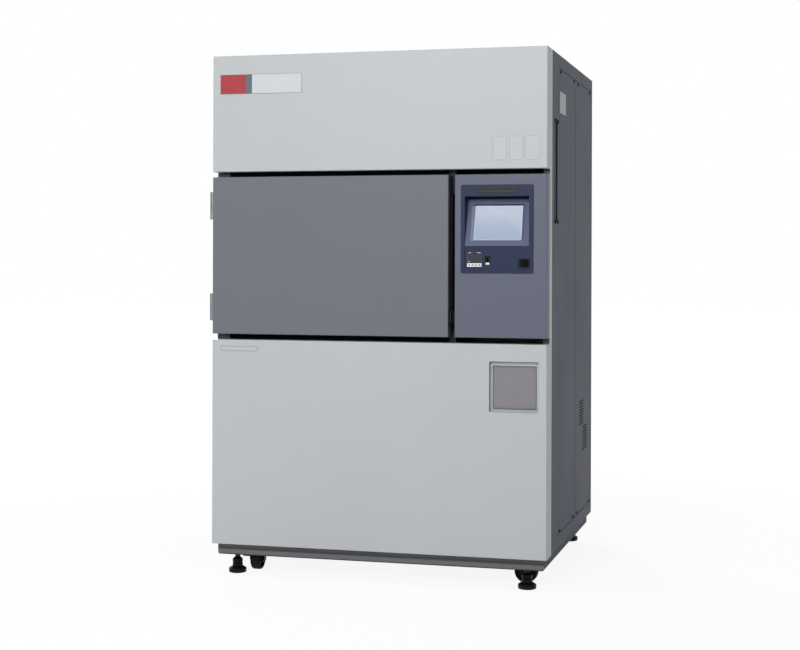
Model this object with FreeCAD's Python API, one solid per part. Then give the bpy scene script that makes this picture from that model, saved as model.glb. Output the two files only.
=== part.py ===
import FreeCAD
import Part
import math
import os
from FreeCAD import Vector

# Thermal shock chamber on castors, in millimetres. It is drawn with X to the right seen from the
# front, Y into the depth from the skin of the front panels and Z up from the floor. At the end
# every node is moved so that the origin is the middle of the bottom of the whole object.

# Cabinet
WIDTH = 1110.0
DEPTH = 990.0
HEIGHT = 1700.0
SHEET = 2.0
FLANGE = 20.0
SEAM = 1.5
HALF = WIDTH / 2

# Clearances between pieces that move and what they move past
CLEAR = 0.5
SEAT = 0.3
BORE_CLEAR = 0.05

# Base
BASE_TOP = 100.0
BASE_HEIGHT = 39.0
BASE_WALL = 4.5
BASE_LIP = 15.0
BASE_RADIUS = 8.0
BASE_SIDE_INSET = 12.0
BASE_END_INSET = 27.0
BASE_BOTTOM = BASE_TOP - BASE_HEIGHT
BASE_UNDERSIDE = BASE_TOP - BASE_WALL
BASE_HALF = HALF - BASE_SIDE_INSET

# Levelling feet
FOOT_SIDE_INSET = 70.0
FOOT_END_INSET = 56.0
PAD_RADIUS = 29.0
PAD_HEIGHT = 14.0
PAD_ROUND = 4.0
SLEEVE_RADIUS = 16.75
SLEEVE_BOTTOM = 22.0
SLEEVE_TOP = 44.0
GROOVE = 1.2
STUD_RADIUS = 8.5
STUD_START = 52.0
STUD_REACH = 12.0
NUT_FLATS = 24.0
NUT_HEIGHT = 13.0
FOOT_TRAVEL = 8.0

# Castors
CASTER_SIDE_INSET = 117.0
CASTER_END_INSET = 150.0
CASTER_PLATE = 90.0
CASTER_PLATE_SHEET = 6.0
CROWN_RADIUS = 26.0
CROWN_HEIGHT = 7.2
KINGPIN_RADIUS = 6.0
TRAIL = 28.0
WHEEL_RADIUS = 37.5
WHEEL_WIDTH = 32.0
WHEEL_ROUND = 6.0
WEB_SINK = 7.0
WEB_SLOPE = 2.0
RIM_DEPTH = 10.0
AXLE_RADIUS = 6.0
LEG_SHEET = 3.0
LEG_TOP_HALF = 16.0
BOSS_RADIUS = 13.0
HEAD_RADIUS = 9.0
HEAD_HEIGHT = 3.0
BRAKE_SHEET = 2.5
BRAKE_TREAD = 3.5
BRAKE_EYE = 4.0
BRAKE_ARM_INSET = 5.0
BRAKE_HALF_WIDTH = 37.0
BRAKE_START = 15.0
BRAKE_END = 62.0
BRAKE_TRAVEL = 15.0

# Front panels
PANEL_DEPTH = 47.0
PANEL_RADIUS = 3.0
PANEL_LIP = 14.0
LOWER_PANEL_HEIGHT = 671.0
LOWER_GAP = 18.5
DOOR_WIDTH = 794.5
DOOR_HEIGHT = 513.5
DOOR_SIDE_GAP = 21.0
UPPER_GAP = 17.0
LOWER_TOP = BASE_TOP + LOWER_PANEL_HEIGHT
DOOR_BOTTOM = LOWER_TOP + LOWER_GAP
DOOR_TOP = DOOR_BOTTOM + DOOR_HEIGHT
UPPER_BOTTOM = DOOR_TOP + UPPER_GAP
DOOR_RIGHT = DOOR_WIDTH - HALF
CONTROL_LEFT = DOOR_RIGHT + DOOR_SIDE_GAP

# Posts behind the front panels
POST_DEPTH = 44.0
LEFT_POST_FLANGE = 41.0
POST_BACK_FLANGE = 18.0
POST_BACK = PANEL_DEPTH + POST_DEPTH
MULLION_WIDTH = 22.0
MULLION_FRONT = 60.0
MULLION_OFFSET = 10.0
MULLION_LEFT = (DOOR_RIGHT + CONTROL_LEFT - MULLION_WIDTH) / 2 - MULLION_OFFSET
MULLION_RIGHT = MULLION_LEFT + MULLION_WIDTH

# Side frames and their removable panels
FRAME_WALL = 14.0
PANEL_TRAY = 12.0
TRAY_RADIUS = 1.5
TRAY_GAP = 1.0
SIDE_FRONT = 222.0
SIDE_SEAM = 582.0
SIDE_REAR = 951.0
SIDE_MARGIN = 43.0
SIDE_BOTTOM = BASE_TOP + SIDE_MARGIN
SIDE_TOP = HEIGHT - SIDE_MARGIN
SEAM_STRIP = 24.0
TRAY_LIP = 10.0
REAR_RETURN = 40.0
LOUVRE_PITCH = 10.0
LOUVRE_OPENING = 4.0
LOUVRE_COUNT = 9
UPPER_LOUVRE = (684.0, 790.0, 451.0)
LOWER_LOUVRE = (764.0, 875.0, 356.0)
REAR_LOUVRE_WIDTH = 300.0
REAR_LOUVRE_RISE = 480.0

# Narrow service cover near the front of the right side
SLOT_FRONT = 147.0
SLOT_REAR = 190.0
SLOT_BOTTOM = 1158.0
SLOT_TOP = 1480.0
SLOT_FLANGE = 7.5
SLOT_SHEET = 1.0
SLOT_DISH = 8.0
KNOB_RADIUS = 6.5
KNOB_HEIGHT = 5.0
SCREW_RADIUS = 5.0
SCREW_HEIGHT = 2.5
SCREW_MARGIN = 9.0
SCREW_INSETS = (33.0, 41.0, 55.0, 30.0)
HEAD_WALL_SHARE = 0.4
HEAD_TOP_SHARE = 0.6

# Chambers
BODY_LEFT = -530.0
BODY_RIGHT = MULLION_LEFT - SHEET
BODY_FRONT = 62.0
BODY_REAR = 760.0
BODY_BOTTOM = 430.0
BODY_TOP = 1640.0
CAVITY_LEFT = -457.0
CAVITY_WIDTH = 600.0
CAVITY_RIGHT = CAVITY_LEFT + CAVITY_WIDTH
TEST_BOTTOM = 862.0
TEST_HEIGHT = 370.0
TEST_DEPTH = 450.0
TEST_TOP = TEST_BOTTOM + TEST_HEIGHT
AIR_WALL = 88.0
AIR_FRONT = 130.0
AIR_REAR = 700.0
HOT_BOTTOM = TEST_TOP + AIR_WALL
HOT_HEIGHT = 260.0
COLD_TOP = TEST_BOTTOM - AIR_WALL
COLD_HEIGHT = 274.0
COLD_BOTTOM = COLD_TOP - COLD_HEIGHT
PORT_INSET = 50.0
PORT_FRONT = 330.0
PORT_REAR = 480.0
STAND_ANGLE = 35.0
STAND_SHEET = 4.0

# Test area
LINER_SHEET = 1.5
LINER_FLANGE = 40.0
AIR_SLOTS = 12
AIR_SLOT_WIDTH = 14.0
AIR_SLOT_INSET = 8.0
RUNNER_HEIGHT = 37.0
RUNNER_WIDTH = 15.0
RACK_ROD = 3.0
RACK_WIRE = 2.0
RACK_WIRES = 14
RACK_MARGIN = 4.0

# Door
DOOR_DEPTH = PANEL_DEPTH - CLEAR
PAN_SHEET = 1.5
PLUG_DEPTH = 45.5
PLUG_GAP = 5.0
PLUG_TAPER = 5.0
GASKET_WIDTH = 18.0
GASKET_MARGIN = 12.0

# Hinges on the left side of the cabinet
HINGE_RADIUS = 8.0
HINGE_PIN = 4.0
HINGE_OUT = 9.0
HINGE_IN = 22.0
HINGE_LEAF = 3.0
HINGE_CRANK = 1.0
HINGE_LENGTH = 90.0
HINGE_HEIGHTS = (BASE_TOP + 732.0, BASE_TOP + 1065.0)
DOOR_SWING = 110.0

# Grip strip and latch in the gap beside the door
GRIP_THICK = 8.0
GRIP_DEPTH = 14.0
GRIP_BACK = 45.0
GRIP_END = 56.0
GRIP_ROUND = 2.0
EAR_MARGIN = 1.6
EAR_SHEET = 4.7
EAR_FRONT = 20.0
EAR_REAR = 34.0
LATCH_BOTTOM = DOOR_BOTTOM + 47.5
LATCH_HEIGHT = 30.0
LATCH_PIN = 2.5
LATCH_OUT = 10.5
LATCH_IN = 27.0
LATCH_BOSS = 4.4
LATCH_ARM = 4.0
LATCH_TAB_FRONT = 5.0
LATCH_NOSE_FRONT = 53.2
LATCH_NOSE_REAR = 56.5
LATCH_SWING = 10.0
STRIKE_ROD = 2.0
STRIKE_IN = 50.5
STRIKE_LEG = 4.0
STRIKE_ROOM = 4.5

# Air moving parts and their drives
WHEEL_OUTER = 85.0
WHEEL_INNER = 69.0
WHEEL_LENGTH = 88.0
WHEEL_PLATE = 3.0
HUB_RADIUS = 18.0
HUB_LENGTH = 30.0
BLADES = 20
BLADE_RADIUS = 10.0
BLADE_SHEET = 1.5
BLADE_OFFSET = 8.0
SHAFT_RADIUS = 9.0
SHAFT_GRIP = 60.0
WALL_GAP = 13.0
BLOWER_DEPTH = 598.0
HOT_BLOWER_HEIGHT = 130.0
COLD_BLOWER_HEIGHT = 140.0
MOTOR_RADIUS = 65.0
MOTOR_LENGTH = 140.0
DAMPER_SHAFT = 8.0
DAMPER_SHEET = 6.0
DAMPER_OVERLAP = 10.0
DAMPER_OFFSET = 10.0
DAMPER_LIFT = 1.0
DAMPER_SWING = 80.0
DAMPER_GRIP = 14.0
ACTUATOR_LENGTH = 110.0
ACTUATOR_WIDTH = 76.0
ACTUATOR_HEIGHT = 90.0
BUSH_CLEAR = 0.1

# Heater, cooler and refrigeration
HEATER_TUBE = 7.0
HEATER_PITCH = 34.0
HEATER_ROWS = 3
HEATER_PASSES = 3
HEATER_SHEET = 3.0
HEATER_MARGIN = 30.0
FIN_SHEET = 2.0
FIN_PITCH = 36.0
FIN_COUNT = 12
FIN_DEPTH = 250.0
FIN_HEIGHT = 72.0
COOLER_TUBE = 8.0
COOLER_TUBES = 3
COMPRESSOR_RADIUS = 80.0
COMPRESSOR_HEIGHT = 260.0
COMPRESSOR_FOOT = 6.0
COMPRESSOR_SIDES = (-330.0, -60.0)
CONDENSER_WIDTH = 110.0
CONDENSER_DEPTH = 90.0
CONDENSER_HEIGHT = 330.0
CONDENSER_INSET = 95.0
PIPE_RADIUS = 13.45
PIPE_WALL = 2.5
PIPE_REACH = 32.0
COLLAR_FLATS = 36.0
COLLAR_LENGTH = 8.0
PIPE_HEIGHTS = (BASE_TOP + 115.0, BASE_TOP + 215.0)
PIPE_SIDE = 110.0
GLAND_SIDE = -400.0
GLAND_HEIGHT = BASE_TOP + 150.0
GLAND_FLATS = 30.0
GLAND_STUB = 8.0
GLAND_HEX = 6.0
GLAND_NUT_RADIUS = 13.0
GLAND_NUT_END = 15.0
GLAND_TIP_RADIUS = 9.0
GLAND_TIP = 21.0
GLAND_BORE = 6.0
BOX_RIGHT = HALF - SHEET - FLANGE - CLEAR
BOX_WIDTH = 150.0
BOX_FRONT = 230.0
BOX_DEPTH = 400.0
BOX_LIP = 20.0

# Operation panel
BEZEL_INSET = 20.0
BEZEL_WIDTH = 231.5
BEZEL_HEIGHT = 278.0
BEZEL_RISE = 202.5
BEZEL_PROUD = 2.5
BEZEL_BACK = 1.5
BEZEL_LAP = 2.5
BEZEL_CORNER = 6.0
BEZEL_EDGE = 1.2
BEZEL_LEFT = CONTROL_LEFT + BEZEL_INSET
BEZEL_RIGHT = BEZEL_LEFT + BEZEL_WIDTH
BEZEL_BOTTOM = DOOR_BOTTOM + BEZEL_RISE
BEZEL_TOP = BEZEL_BOTTOM + BEZEL_HEIGHT
TUBE_WALL = 2.5
SCREEN_LEFT = BEZEL_LEFT + 12.5
SCREEN_WIDTH = 205.0
SCREEN_BOTTOM = BEZEL_BOTTOM + 86.0
SCREEN_OPENING = 156.0
SCREEN_SLOPE = 155.6
SCREEN_THICK = 10.0
SCREEN_TILT = 16.8
SCREEN_PROUD = 3.5
SCREEN_ROUND = 1.5
LCD_WIDTH = 152.0
LCD_HEIGHT = 114.0
LCD_RECESS = 6.0
LCD_BEVEL_SIDE = 10.0
LCD_BEVEL_END = 2.5
GLASS_SHEET = 1.5
GLASS_LAP = 2.0
LENS_LEFT = BEZEL_LEFT + 43.5
LENS_WIDTH = 142.5
LENS_BOTTOM = BEZEL_BOTTOM + 252.5
LENS_HEIGHT = 10.0
LENS_ROUND = 4.0
LENS_RECESS = 1.0
LENS_FLANGE = 3.0

# Flap with the panel instruments showing through it
FLAP_LEFT = BEZEL_LEFT + 12.5
FLAP_WIDTH = 167.5
FLAP_BOTTOM = BEZEL_BOTTOM + 13.0
FLAP_HEIGHT = 65.0
FLAP_SHEET = 2.5
FLAP_PIN = 0.9
FLAP_PIN_LENGTH = 2.0
FLAP_SWING = 100.0
CONTROLLER = 48.5
CONTROLLER_LEFT = BEZEL_LEFT + 19.8
CONTROLLER_BOTTOM = BEZEL_BOTTOM + 19.2
CONTROLLER_PROUD = 3.5
CONTROLLER_CASE = 44.8
CONTROLLER_DEPTH = 58.0
CONTROLLER_ROUND = 1.5
DISPLAY_MARGIN = 4.0
DISPLAY_RISE = 15.0
DISPLAY_HEAD = 6.0
DISPLAY_SINK = 0.8
PORT_LEFT = BEZEL_LEFT + 77.5
PORT_WIDTH = 17.0
PORT_BOTTOM = BEZEL_BOTTOM + 30.0
PORT_HEIGHT = 24.5
PORT_PROUD = 3.0
PORT_DEPTH = 30.0
PORT_MOUTH = (7.0, 13.5)

# Finger latch of the flap
SCOOP_LEFT = BEZEL_LEFT + 184.5
SCOOP_WIDTH = 38.0
SCOOP_BOTTOM = BEZEL_BOTTOM + 12.5
SCOOP_HEIGHT = 34.0
SCOOP_DEPTH = 5.0
SCOOP_ROUND = 8.0
BUTTON_LEFT = BEZEL_LEFT + 190.2
BUTTON_WIDTH = 25.3
BUTTON_BOTTOM = BEZEL_BOTTOM + 21.0
BUTTON_HEIGHT = 22.0
BUTTON_PROUD = 2.0
BUTTON_LENGTH = 8.5
BUTTON_TRAVEL = 3.0
BUTTON_ROUND = 1.0

# Square recess with the breaker cover
RECESS_INSET = 25.0
RECESS_WIDTH = 158.0
RECESS_HEIGHT = 159.0
RECESS_DROP = 54.5
RECESS_ROUND = 5.0
RECESS_DEPTH = 17.0
RING_SHEET = 3.0
POCKET_WALL = 1.5
POCKET_DEPTH = 100.0
HOLE_SIDE = 9.0
HOLE_RISE = 8.0
HOLE_WIDTH = 139.5
HOLE_HEIGHT = 137.0
COVER_SINK = 0.8
COVER_SHEET = 3.4
COVER_PIN = 1.5
COVER_ROUND = 1.0
COVER_HINGE_DROP = 3.0
COVER_SWING = 95.0
BREAKER_WIDTH = 75.0
BREAKER_HEIGHT = 100.0
BREAKER_DEPTH = 40.5
BREAKER_ROUND = 2.0
LEVER_WIDTH = 24.0
LEVER_DRUM = 9.0
LEVER_PIN = 2.5
LEVER_PIN_LENGTH = 3.5
LEVER_REACH = 26.0
LEVER_THICK = 10.0
LEVER_TILT = 16.0
LEVER_ROOM = 2.2
LEVER_DRAFT = 1.0
LEVER_ROUND = 1.5

RECESS_RIGHT = HALF - RECESS_INSET
RECESS_LEFT = RECESS_RIGHT - RECESS_WIDTH
RECESS_TOP = LOWER_TOP - RECESS_DROP
RECESS_BOTTOM = RECESS_TOP - RECESS_HEIGHT
HOLE_LEFT = RECESS_LEFT + HOLE_SIDE
HOLE_RIGHT = HOLE_LEFT + HOLE_WIDTH
HOLE_BOTTOM = RECESS_BOTTOM + HOLE_RISE
HOLE_TOP = HOLE_BOTTOM + HOLE_HEIGHT


def box(x0, x1, y0, y1, z0, z1):
    """Block between its lowest and highest corner."""
    return Part.makeBox(x1 - x0, y1 - y0, z1 - z0, Vector(x0, y0, z0))


def rod(start, axis, radius, length):
    """Round bar from a point along an axis."""
    return Part.makeCylinder(radius, length, Vector(*start), Vector(*axis))


def joined(shapes):
    """One solid from pieces that touch or cross, with its flat faces merged."""
    solid = shapes[0]
    for shape in shapes[1:]:
        solid = solid.fuse(shape)
    return solid.removeSplitter()


def mirrored(shape):
    """The same piece for the other side of the cabinet."""
    return shape.mirror(Vector(0, 0, 0), Vector(1, 0, 0))


def prism(points, push):
    """Closed outline pushed along a vector."""
    corners = [Vector(*point) for point in points]
    return Part.Face(Part.makePolygon(corners + corners[:1])).extrude(Vector(*push))


def turned(outline):
    """Solid turned about the Z axis from (radius, height) points."""
    corners = [Vector(radius, 0, height) for radius, height in outline]
    face = Part.Face(Part.makePolygon(corners + corners[:1]))
    return face.revolve(Vector(0, 0, 0), Vector(0, 0, 1), 360)


def rounded(solid, radius, chosen):
    """Round the edges that a test picks."""
    return solid.makeFillet(radius, [edge for edge in solid.Edges if chosen(edge)])


def on_plane(axis, place):
    """Test for edges that lie in a plane across the axis numbered 0, 1 or 2."""
    return lambda edge: all(abs(v.Point[axis] - place) < 0.001 for v in edge.Vertexes)


def along(axis):
    """Test for straight edges that run along the axis numbered 0, 1 or 2."""
    def chosen(edge):
        first = edge.Vertexes[0].Point
        last = edge.Vertexes[-1].Point
        return all(abs(first[i] - last[i]) < 0.001 for i in range(3) if i != axis) and edge.Length > 0
    return chosen


def rim_of_radius(radius):
    """Test for round edges of one radius."""
    return lambda edge: isinstance(edge.Curve, Part.Circle) and abs(edge.Curve.Radius - radius) < 0.001


def tray(low, high, axis, outward, lip, radius):
    """Folded sheet tray: a skin that faces outward, four walls and a lip round its open back."""
    block = box(low[0], high[0], low[1], high[1], low[2], high[2])
    if radius > 0:
        block = rounded(block, radius, on_plane(axis, high[axis] if outward > 0 else low[axis]))
    room_low = [value + SHEET for value in low]
    room_high = [value - SHEET for value in high]
    mouth_low = [value + lip for value in low]
    mouth_high = [value - lip for value in high]
    if outward > 0:
        mouth_low[axis] = low[axis] - SHEET
        mouth_high[axis] = high[axis] - 2 * SHEET
    else:
        mouth_low[axis] = low[axis] + 2 * SHEET
        mouth_high[axis] = high[axis] + SHEET
    for start, end in ((room_low, room_high), (mouth_low, mouth_high)):
        block = block.cut(box(start[0], end[0], start[1], end[1], start[2], end[2]))
    return block


def frustum(x0, x1, z0, z1, front, back, taper):
    """Block that narrows by a taper on every side from its front to its back."""
    def outline(shrink, depth):
        left, right, low, high = x0 + shrink, x1 - shrink, z0 + shrink, z1 - shrink
        corners = [Vector(left, depth, low), Vector(right, depth, low),
                   Vector(right, depth, high), Vector(left, depth, high)]
        return Part.makePolygon(corners + corners[:1])
    return Part.makeLoft([outline(0, front), outline(taper, back)], True, True)


def ring_sector(inner, outer, start, end, low, width):
    """Part of a ring about the Y axis, between two angles in degrees measured from +X."""
    def at(radius, angle):
        turn = math.radians(angle)
        return Vector(radius * math.cos(turn), low, radius * math.sin(turn))
    middle = (start + end) / 2
    edges = [Part.Arc(at(outer, start), at(outer, middle), at(outer, end)).toShape(),
             Part.makeLine(at(outer, end), at(inner, end)),
             Part.Arc(at(inner, end), at(inner, middle), at(inner, start)).toShape(),
             Part.makeLine(at(inner, start), at(outer, start))]
    return Part.Face(Part.Wire(edges)).extrude(Vector(0, width, 0))


def soft_corner(size):
    """Three points of a corner that is cut by two chamfers, as distances from its two faces."""
    step = size * (1 - math.cos(math.pi / 4))
    return (size, 0), (step, step), (0, size)


def hexagon(flats, height, bottom):
    """Hexagonal nut or head about the Z axis, given its size across flats."""
    radius = flats / 2 / math.cos(math.pi / 6)
    corners = [(radius * math.cos(math.pi / 3 * i), radius * math.sin(math.pi / 3 * i), bottom)
               for i in range(6)]
    return prism(corners, (0, 0, height))


def tangent_point(point, centre, radius, side):
    """Where a line from a point touches a circle, on the chosen side of it."""
    distance = math.hypot(point[0] - centre[0], point[1] - centre[1])
    turn = math.atan2(point[1] - centre[1], point[0] - centre[0])
    turn = turn + side * math.acos(radius / distance)
    return centre[0] + radius * math.cos(turn), centre[1] + radius * math.sin(turn)


def corners_of_base(side_inset, end_inset):
    """The four places that carry feet or castors, by name."""
    x = HALF - side_inset
    return {"front_left": (-x, end_inset), "front_right": (x, end_inset),
            "rear_left": (-x, DEPTH - end_inset), "rear_right": (x, DEPTH - end_inset)}


def base_frame():
    """Rounded steel base with its floor plate and the welded nuts of the feet."""
    front = BASE_END_INSET
    rear = DEPTH - BASE_END_INSET
    block = box(-BASE_HALF, BASE_HALF, front, rear, BASE_BOTTOM, BASE_TOP)
    block = rounded(block, BASE_RADIUS, on_plane(2, BASE_BOTTOM))
    inner = BASE_HALF - BASE_WALL
    mouth = inner - BASE_LIP
    reach = BASE_WALL + BASE_LIP
    block = block.cut(box(-inner, inner, front + BASE_WALL, rear - BASE_WALL,
                          BASE_BOTTOM + BASE_WALL, BASE_UNDERSIDE))
    block = block.cut(box(-mouth, mouth, front + reach, rear - reach,
                          BASE_BOTTOM - 1, BASE_BOTTOM + 2 * BASE_WALL))
    for x, y in corners_of_base(FOOT_SIDE_INSET, FOOT_END_INSET).values():
        nut = hexagon(NUT_FLATS, NUT_HEIGHT + 1, BASE_UNDERSIDE - NUT_HEIGHT)
        nut.translate(Vector(x, y, 0))
        bore = rod((x, y, BASE_BOTTOM), (0, 0, 1), STUD_RADIUS + BORE_CLEAR, BASE_HEIGHT + 1)
        block = block.fuse(nut).cut(bore)
    return block.removeSplitter()


def foot(place):
    """Levelling foot: pad, grooved sleeve and threaded stud in one piece."""
    groove = (SLEEVE_BOTTOM + SLEEVE_TOP) / 2
    inner = SLEEVE_RADIUS - GROOVE
    top = BASE_TOP + STUD_REACH
    outline = [(0, 0)] + [(PAD_RADIUS - inward, along_face) for inward, along_face in soft_corner(PAD_ROUND)]
    outline += [(PAD_RADIUS, PAD_HEIGHT), (SLEEVE_RADIUS, SLEEVE_BOTTOM),
                (SLEEVE_RADIUS, groove - 2 * GROOVE), (inner, groove - GROOVE),
                (inner, groove + GROOVE), (SLEEVE_RADIUS, groove + 2 * GROOVE),
                (SLEEVE_RADIUS, SLEEVE_TOP), (STUD_RADIUS, STUD_START),
                (STUD_RADIUS, top - GROOVE), (STUD_RADIUS - GROOVE, top), (0, top)]
    solid = turned(outline)
    solid.translate(Vector(place[0], place[1], 0))
    return solid


def caster_plates():
    """The four square plates that carry the castors under the base."""
    plates = []
    low = BASE_UNDERSIDE - CASTER_PLATE_SHEET
    for x, y in corners_of_base(CASTER_SIDE_INSET, CASTER_END_INSET).values():
        half = CASTER_PLATE / 2
        plate = box(x - half, x + half, y - half, y + half, low, BASE_UNDERSIDE)
        plate = rounded(plate, BASE_RADIUS, along(2))
        plates.append(plate.cut(rod((x, y, low - 1), (0, 0, 1), KINGPIN_RADIUS + BORE_CLEAR,
                                    CASTER_PLATE_SHEET + 2)))
    return Part.makeCompound(plates)


def fork_leg(inner_face):
    """One leg of the fork: a sheet that narrows from the crown to the boss round the axle."""
    top = CROWN_TOP - 1
    centre = (TRAIL, WHEEL_RADIUS)
    ahead = tangent_point((-LEG_TOP_HALF, top), centre, BOSS_RADIUS, 1)
    behind = tangent_point((LEG_TOP_HALF, top), centre, BOSS_RADIUS, -1)
    outline = [(-LEG_TOP_HALF, top), ahead, centre, behind, (LEG_TOP_HALF, top)]
    sheet = prism([(x, inner_face, z) for x, z in outline], (0, LEG_SHEET, 0))
    return sheet.fuse(rod((TRAIL, inner_face, WHEEL_RADIUS), (0, 1, 0), BOSS_RADIUS, LEG_SHEET))


def caster_fork(spacer):
    """Swivel fork with its kingpin and axle, and room for brake arms beside its legs."""
    half = WHEEL_WIDTH / 2 + 1
    outer = half + LEG_SHEET
    reach = outer + spacer
    end = reach + HEAD_HEIGHT
    axle = rod((TRAIL, -reach, WHEEL_RADIUS), (0, 1, 0), AXLE_RADIUS, 2 * reach)
    pieces = [rod((0, 0, CROWN_TOP - CROWN_HEIGHT), (0, 0, 1), CROWN_RADIUS, CROWN_HEIGHT),
              rod((0, 0, CROWN_TOP - 1), (0, 0, 1), KINGPIN_RADIUS, CASTER_PLATE_SHEET + 1),
              fork_leg(half), fork_leg(-outer), axle,
              rod((TRAIL, reach, WHEEL_RADIUS), (0, 1, 0), HEAD_RADIUS, HEAD_HEIGHT),
              rod((TRAIL, -end, WHEEL_RADIUS), (0, 1, 0), HEAD_RADIUS, HEAD_HEIGHT)]
    return joined(pieces)


def caster_wheel():
    """Wheel with a rounded tread, a sunk web and a hub that nearly fills the fork."""
    half = WHEEL_WIDTH / 2
    bore = AXLE_RADIUS + BORE_CLEAR
    hub = 2 * AXLE_RADIUS
    web = half - WEB_SINK
    rim = WHEEL_RADIUS - RIM_DEPTH
    side = [(bore, half + CLEAR), (hub, half + CLEAR), (hub + WEB_SLOPE, web), (rim, web),
            (rim + WEB_SLOPE, half)]
    side += [(WHEEL_RADIUS - inward, half - along_face) for inward, along_face in soft_corner(WHEEL_ROUND)]
    outline = side + [(radius, -height) for radius, height in reversed(side)]
    solid = turned(outline)
    solid.rotate(Vector(0, 0, 0), Vector(1, 0, 0), 90)
    solid.translate(Vector(TRAIL, 0, WHEEL_RADIUS))
    return solid


def caster_brake():
    """Brake pedal: a curved tread plate over the wheel on two arms that turn about the axle."""
    tread = WHEEL_RADIUS + BRAKE_SHEET
    ring = AXLE_RADIUS + BRAKE_EYE
    inner_face = WHEEL_WIDTH / 2 + 1 + LEG_SHEET + SEAT
    pieces = [ring_sector(tread, tread + BRAKE_TREAD, BRAKE_START, BRAKE_END, -BRAKE_HALF_WIDTH,
                          2 * BRAKE_HALF_WIDTH)]
    for low in (inner_face, -inner_face - BRAKE_SHEET):
        pieces.append(rod((0, low, 0), (0, 1, 0), ring, BRAKE_SHEET))
        pieces.append(ring_sector(ring - BRAKE_SHEET, tread + BRAKE_TREAD / 2,
                                  BRAKE_START + BRAKE_ARM_INSET, BRAKE_END - BRAKE_ARM_INSET,
                                  low, BRAKE_SHEET))
    solid = joined(pieces)
    reach = 2 * BRAKE_HALF_WIDTH
    solid = solid.cut(rod((0, -reach, 0), (0, 1, 0), AXLE_RADIUS + BUSH_CLEAR, 2 * reach))
    solid.translate(Vector(TRAIL, 0, WHEEL_RADIUS))
    return solid


def placed_castor(solid, name):
    """A castor piece drawn trailing along +X, turned and moved to its corner."""
    place = corners_of_base(CASTER_SIDE_INSET, CASTER_END_INSET)[name]
    solid.rotate(Vector(0, 0, 0), Vector(0, 0, 1), CASTER_HEADINGS[name])
    solid.translate(Vector(place[0], place[1], 0))
    return solid


def front_post(front_flange):
    """Right post behind the front panels, a channel that is open towards the door."""
    side = box(HALF - SHEET, HALF, PANEL_DEPTH, POST_BACK, BASE_TOP, HEIGHT)
    front = box(HALF - front_flange, HALF - SHEET, PANEL_DEPTH, PANEL_DEPTH + SHEET,
                BASE_TOP, HEIGHT - SHEET)
    back = box(HALF - POST_BACK_FLANGE, HALF - SHEET, POST_BACK - SHEET, POST_BACK,
               BASE_TOP, HEIGHT - SHEET)
    return joined([side, front, back])


def mullion():
    """Upright channel behind the gap between the door and the control panel."""
    top = HEIGHT - SHEET
    block = box(MULLION_LEFT, MULLION_RIGHT, MULLION_FRONT, POST_BACK, BASE_TOP, top)
    return block.cut(box(MULLION_LEFT + SHEET, MULLION_RIGHT - SHEET, MULLION_FRONT + SHEET,
                         POST_BACK + 1, BASE_TOP - 1, top + 1))


def latch_strike():
    """Staple on the mullion: a plate, two legs and the rod that the latch hooks behind."""
    x = MULLION_LEFT + MULLION_WIDTH / 2 + STRIKE_ROD
    low = LATCH_BOTTOM - STRIKE_ROOM
    high = LATCH_BOTTOM + LATCH_HEIGHT + STRIKE_ROOM
    leg = STRIKE_LEG
    half = 1.5 * STRIKE_ROD
    front = STRIKE_IN - STRIKE_ROD
    back = MULLION_FRONT - PAN_SHEET
    pieces = [box(x - 2 * leg, x + 2 * leg, back, MULLION_FRONT, low - 2 * leg, high + 2 * leg),
              box(x - half, x + half, front, back, low - leg, low),
              box(x - half, x + half, front, back, high, high + leg),
              rod((x, STRIKE_IN, low - leg / 2), (0, 0, 1), STRIKE_ROD, high - low + leg)]
    return joined(pieces)


def front_posts():
    """Both corner posts, the mullion and the strike of the door latch."""
    return Part.makeCompound([mirrored(front_post(LEFT_POST_FLANGE + SHEET)), front_post(FLANGE),
                              mullion(), latch_strike()])


def side_frame():
    """Right side frame: skin round a large opening, its walls, ledges and flanges."""
    inner = HALF - FRAME_WALL
    top = HEIGHT - SHEET
    skin = box(HALF - SHEET, HALF, POST_BACK, DEPTH, BASE_TOP, HEIGHT)
    rim = box(inner, HALF, SIDE_FRONT - SHEET, SIDE_REAR + SHEET, SIDE_BOTTOM - SHEET, SIDE_TOP + SHEET)
    opening = box(inner - 1, HALF + 1, SIDE_FRONT, SIDE_REAR, SIDE_BOTTOM, SIDE_TOP)
    ledge = box(inner, inner + SHEET, SIDE_FRONT, SIDE_REAR, SIDE_BOTTOM, SIDE_TOP)
    window = box(inner - 1, HALF, SIDE_FRONT + FRAME_WALL, SIDE_REAR - FRAME_WALL,
                 SIDE_BOTTOM + FRAME_WALL, SIDE_TOP - FRAME_WALL)
    strip = box(inner, inner + SHEET, SIDE_SEAM - SEAM_STRIP / 2, SIDE_SEAM + SEAM_STRIP / 2,
                SIDE_BOTTOM, SIDE_TOP)
    edge = HALF - SHEET - FLANGE
    back = HALF - REAR_RETURN
    ledge_front = DEPTH - FRAME_WALL
    pieces = [skin.fuse(rim).cut(opening), ledge.cut(window), strip,
              box(edge, HALF - SHEET, POST_BACK, POST_BACK + SHEET, BASE_TOP, top),
              box(edge, HALF - SHEET, POST_BACK, DEPTH - SHEET, BASE_TOP, BASE_TOP + SHEET),
              box(edge, HALF - SHEET, POST_BACK, DEPTH - SHEET, top - SHEET, top),
              box(back, HALF - SHEET, DEPTH - SHEET, DEPTH, BASE_TOP, HEIGHT),
              box(back - SHEET, back, ledge_front, DEPTH, BASE_TOP, top),
              box(back - FRAME_WALL, back, ledge_front, ledge_front + SHEET, BASE_TOP, top)]
    return joined(pieces)


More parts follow.
